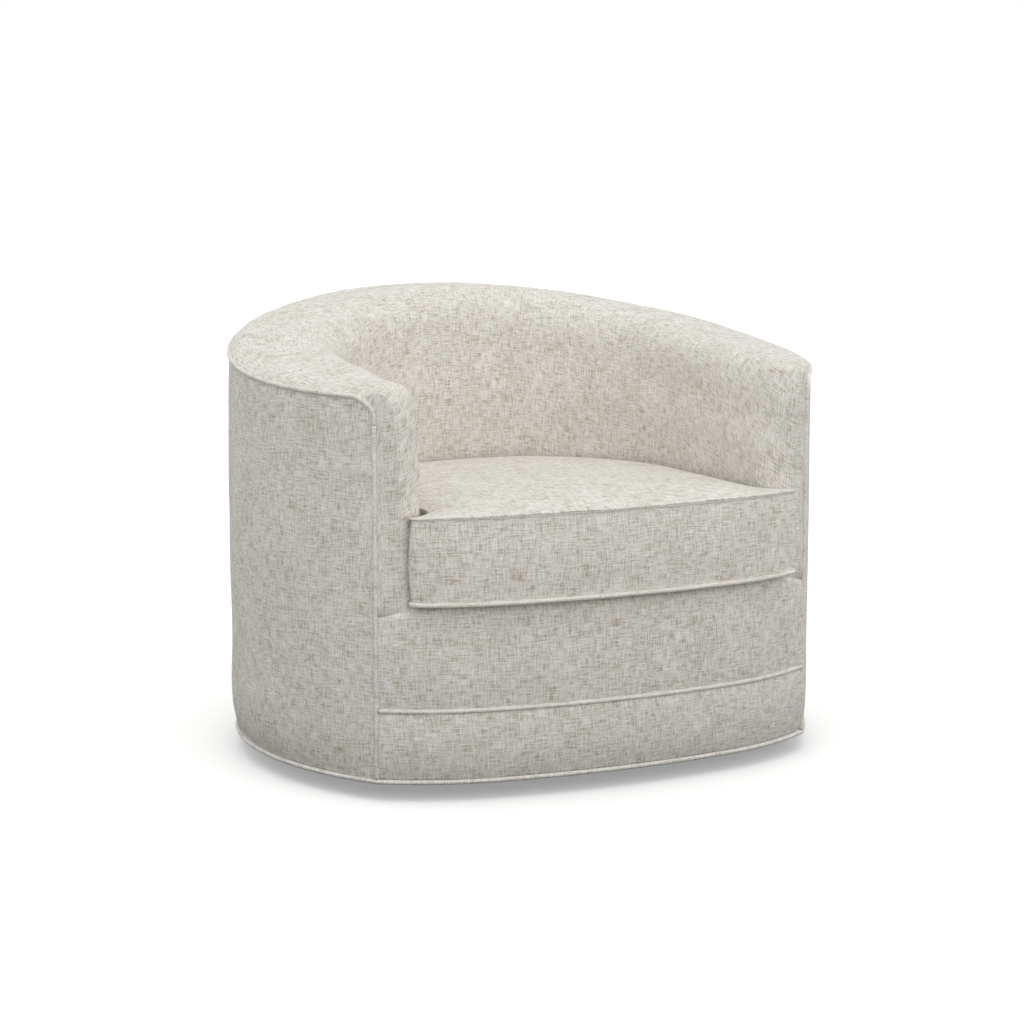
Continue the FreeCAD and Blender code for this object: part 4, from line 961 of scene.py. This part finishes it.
def moulded(name, colour, roughness):
    """Moulded nylon: a fine even grain and scuffs."""
    nylon = Surface(name, roughness)
    grain = nylon.noise(nylon.solid(), 1400.0, 2.0, 0.5)
    scuffs = nylon.noise(nylon.solid((60, 60, 14)), 1.0, 3.0, 0.6)
    nylon.colour(nylon.mixed(nylon.between(scuffs, 0.55, 0.72, 0.0, 0.35), colour,
                             tuple(min(1.0, value * 1.8 + 0.02) for value in colour)))
    nylon.raise_by(grain, 0.0002, 0.5)
    return nylon.material


def fibres(name, colour, dark):
    """Pressed or felted fibres, without a grain direction."""
    felt = Surface(name, 0.95)
    tangle = felt.noise(felt.solid(), 240.0, 5.0, 0.7, 1.2)
    clumps = felt.noise(felt.solid(), 240.0 / 9, 3.0, 0.6)
    share = felt.between(felt.plus(tangle, felt.times(clumps, 0.6)), 0.55, 1.0)
    felt.colour(felt.mixed(share, dark, colour))
    felt.raise_by(tangle, 0.0008, 0.6)
    return felt.material


def dress(thing, body, material, nodes=()):
    thing.data.materials.clear()
    thing.data.materials.append(material)
    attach(thing, body)
    if nodes:
        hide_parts(*nodes)
    return thing


linen_cloth = linen("slub_linen")
welt_cloth = linen("slub_linen_welt", 0.5)
deck_cloth = plain_cloth("deck_twill", (0.62, 0.60, 0.55), (0.42, 0.405, 0.37), 330.0)
dust_cloth = plain_cloth("dust_cambric", (0.022, 0.022, 0.024), (0.010, 0.010, 0.011), 260.0)
tape_cloth = plain_cloth("zip_tape_weave", (0.60, 0.585, 0.53), (0.42, 0.40, 0.36), 500.0)

# Upholstery
dress(barrel_upholstery(), "chair", linen_cloth,
      ("barrel_pad", "left_arm_front", "right_arm_front"))
dress(outside_skin(), "chair", linen_cloth, ("outside_cover",))
top_cord, corner_top = top_piping()
dress(top_cord, "chair", welt_cloth, ("top_welt",))
for hand, side in (("left", -1), ("right", 1)):
    cord = corner_piping(hand + "_corner_cord", side, corner_top)
    dress(cord, "chair", welt_cloth, (hand + "_corner_welt",))
dress(base_piping(), "chair", welt_cloth, ("base_welt",))
dress(band_piping(), "chair", welt_cloth, ("band_welt",))


def border_top(share):
    """Level of the border's top edge, close under the cushion and lower beside it."""
    return BORDER_TOP - 0.009 * smooth(abs(share), 0.84, 1.0)


border = front_band("front_border_cloth", BAND_WELT + CLOTH_EDGE, border_top, 0.018, 0.0030, 11.0)
dress(border, "chair", linen_cloth, ("front_border",))
band = front_band("lower_band_cloth", BASE_WELT + CLOTH_EDGE, lambda share: BAND_WELT - CLOTH_EDGE,
                  0.0, 0.0042, 15.0)
dress(band, "chair", linen_cloth, ("lower_band",))
dress(deck_cover(), "chair", deck_cloth, ("deck_cloth", "deck_pad", "spring_felt"))
sheet, sheet_size, sheet_area = dust_sheet()
dress(sheet, "chair", dust_cloth, ("dust_cover",))

# Cushion
seam = cushion_line()
cover = cushion_cover(seam, pillow_field(seam))
dress(cover, "seat_cushion", linen_cloth,
      ("cushion_top_panel", "cushion_boxing", "cushion_bottom_panel", "cushion_core"))
for label, level_at, inset, radius, node in (
        ("cushion_low_cord", lambda y: LOW_SEAM, 0.0, WELT, "cushion_bottom_welt"),
        ("cushion_top_cord", top_seam, 0.0030, 0.0020, "cushion_top_welt")):
    line = resample(seam, 0.005, closed=True)
    line = line - outward_of(line) * inset
    cord = piping(label, [[x, y, level_at(y)] for x, y in line], radius, loop=True)
    dress(cord, "seat_cushion", welt_cloth, (node,))
dress(zip_ribbon(), "seat_cushion", tape_cloth, ("zip_tape",))

# Finishes of the solids that show as they are
plywood_flat = timber("plywood_birch", (0.66, 0.49, 0.31), (0.50, 0.345, 0.195), 0, True)
timber_up = timber("hardwood_upright", (0.52, 0.345, 0.195), (0.37, 0.225, 0.115), 2)
timber_long = timber("hardwood_rail", (0.53, 0.355, 0.20), (0.385, 0.235, 0.12), 1)
finishes = {
    "floor_glides": moulded("black_nylon_glide", (0.018, 0.018, 0.019), 0.45),
    "ball_cage": moulded("natural_nylon", (0.55, 0.53, 0.47), 0.5),
    "king_bush": moulded("natural_nylon_bush", (0.55, 0.53, 0.47), 0.5),
    "base_disc": plywood_flat, "top_board": plywood_flat, "front_rail": plywood_flat,
    "swivel_board": plywood_flat, "back_rail": plywood_flat,
    "front_posts": timber_up, "side_posts": timber_up, "back_posts": timber_up,
    "side_rails": timber_long, "seat_blocks": timber_long,
    "inner_backing": fibres("pressed_fibreboard", (0.40, 0.30, 0.20), (0.27, 0.195, 0.125)),
    "outside_backing": fibres("pressed_board_outside", (0.42, 0.32, 0.215), (0.28, 0.205, 0.13)),
    "lower_bearing_plate": metal("zinc_plate", (0.60, 0.61, 0.62), 0.38, (1, 0.08, 1)),
    "upper_bearing_plate": metal("zinc_plate_upper", (0.58, 0.59, 0.60), 0.40, (0.08, 1, 1)),
    "spring_clips": metal("clip_steel", (0.50, 0.50, 0.50), 0.42),
    "seat_springs": metal("spring_steel_wire", (0.33, 0.32, 0.31), 0.42, (1, 1, 1), 0.5),
    "bearing_balls": metal("polished_balls", (0.72, 0.72, 0.73), 0.16),
    "zip_slider": metal("zip_nickel", (0.66, 0.63, 0.58), 0.30),
    "zip_stops": metal("zip_stop_nickel", (0.64, 0.61, 0.57), 0.32),
}
screw_steel = metal("plated_screw", (0.57, 0.56, 0.54), 0.34)
for node in ("glide_screws", "lower_plate_screws", "upper_plate_screws", "frame_screws", "king_bolt",
             "king_washer", "king_nut", "dust_cover_staples"):
    finishes[node] = screw_steel
for node, material in finishes.items():
    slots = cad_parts[node].data.materials
    slots.clear()
    slots.append(material)

# Floor, light and camera
def lay_floor(name, level, pale, glow=0.0):
    """A wide floor: with a glow it is evenly pale, and without one it is dark under and near the part,
    painted shade that stands for the part's shadow on the floor.
    """
    mesh = bpy.data.meshes.new(name)
    reach = 60.0
    ends = ((-1, -1), (1, -1), (1, 1), (-1, 1))
    mesh.from_pydata([(x * reach, y * reach, level) for x, y in ends], [], [(0, 1, 2, 3)])
    floor = bpy.data.objects.new(name, mesh)
    bpy.context.scene.collection.objects.link(floor)
    paint = Surface(name + "_paint", 0.9)
    if glow:
        paint.colour((pale, pale, pale, 1.0))
    else:
        # Painted shade: near black within about 0.6 m of the middle, fading to pale by 0.95 m, standing for
        # the part's shadow on the floor
        away = paint.node("ShaderNodeVectorMath", {0: paint.solid()}, operation="LENGTH")
        share = paint.between(away.outputs["Value"], 0.60, 0.95)
        paint.colour(paint.mixed(share, (0.02, 0.02, 0.02), (pale, pale, pale)))
    paint.shader.inputs["Emission Color"].default_value = (1.0, 1.0, 1.0, 1.0)
    paint.shader.inputs["Emission Strength"].default_value = glow
    mesh.materials.append(paint.material)
    return floor


# The floor that is seen, and the one that throws light back on the part, painted with shade near it
lay_floor("studio_floor", 0.0, 0.88, 0.28).visible_diffuse = False
lay_floor("studio_floor_bounce", -0.001, 0.46).visible_camera = False

scene = bpy.context.scene
world = bpy.data.worlds.new("studio")
world.use_nodes = True
scene.world = world
sky = world.node_tree
heading = sky.nodes.new("ShaderNodeTexCoord")
split = sky.nodes.new("ShaderNodeSeparateXYZ")
ramp = sky.nodes.new("ShaderNodeValToRGB")
sky.links.new(heading.outputs["Generated"], split.inputs["Vector"])
sky.links.new(split.outputs["Z"], ramp.inputs["Fac"])
sky.links.new(ramp.outputs["Color"], sky.nodes["Background"].inputs["Color"])
stops = ramp.color_ramp.elements
stops[0].position, stops[1].position = 0.025, 0.05
stops.new(1.0)
for stop, grey in zip(stops, (1.0, 0.90, 0.74)):
    stop.color = (grey, grey, grey, 1.0)
sky.nodes["Background"].inputs["Strength"].default_value = 1.0
scene.view_settings.view_transform = "Standard"


def soft_sun(name, energy, spread, direction):
    lamp = bpy.data.lights.new(name, "SUN")
    lamp.energy = energy
    lamp.angle = math.radians(spread)
    lamp.color = (1.0, 0.995, 0.98)
    thing = bpy.data.objects.new(name, lamp)
    thing.rotation_euler = Vector(direction).to_track_quat("-Z", "Y").to_euler()
    scene.collection.objects.link(thing)


soft_sun("overhead", 0.60, 60, (0.10, 0.15, -1.0))
soft_sun("front_fill", 0.45, 50, (-0.30, 0.92, -0.22))

lens = bpy.data.cameras.new("photo_camera")
lens.lens = 96.68
lens.sensor_width = 36
lens.dof.use_dof = False
lens.clip_end = 200
camera = bpy.data.objects.new("photo_camera", lens)
camera.location = (-1.8602, -4.0524, 1.1126)
camera.rotation_euler = (math.radians(80.493), 0, math.radians(-24.716))
scene.collection.objects.link(camera)
scene.camera = camera

bpy.context.view_layer.update()
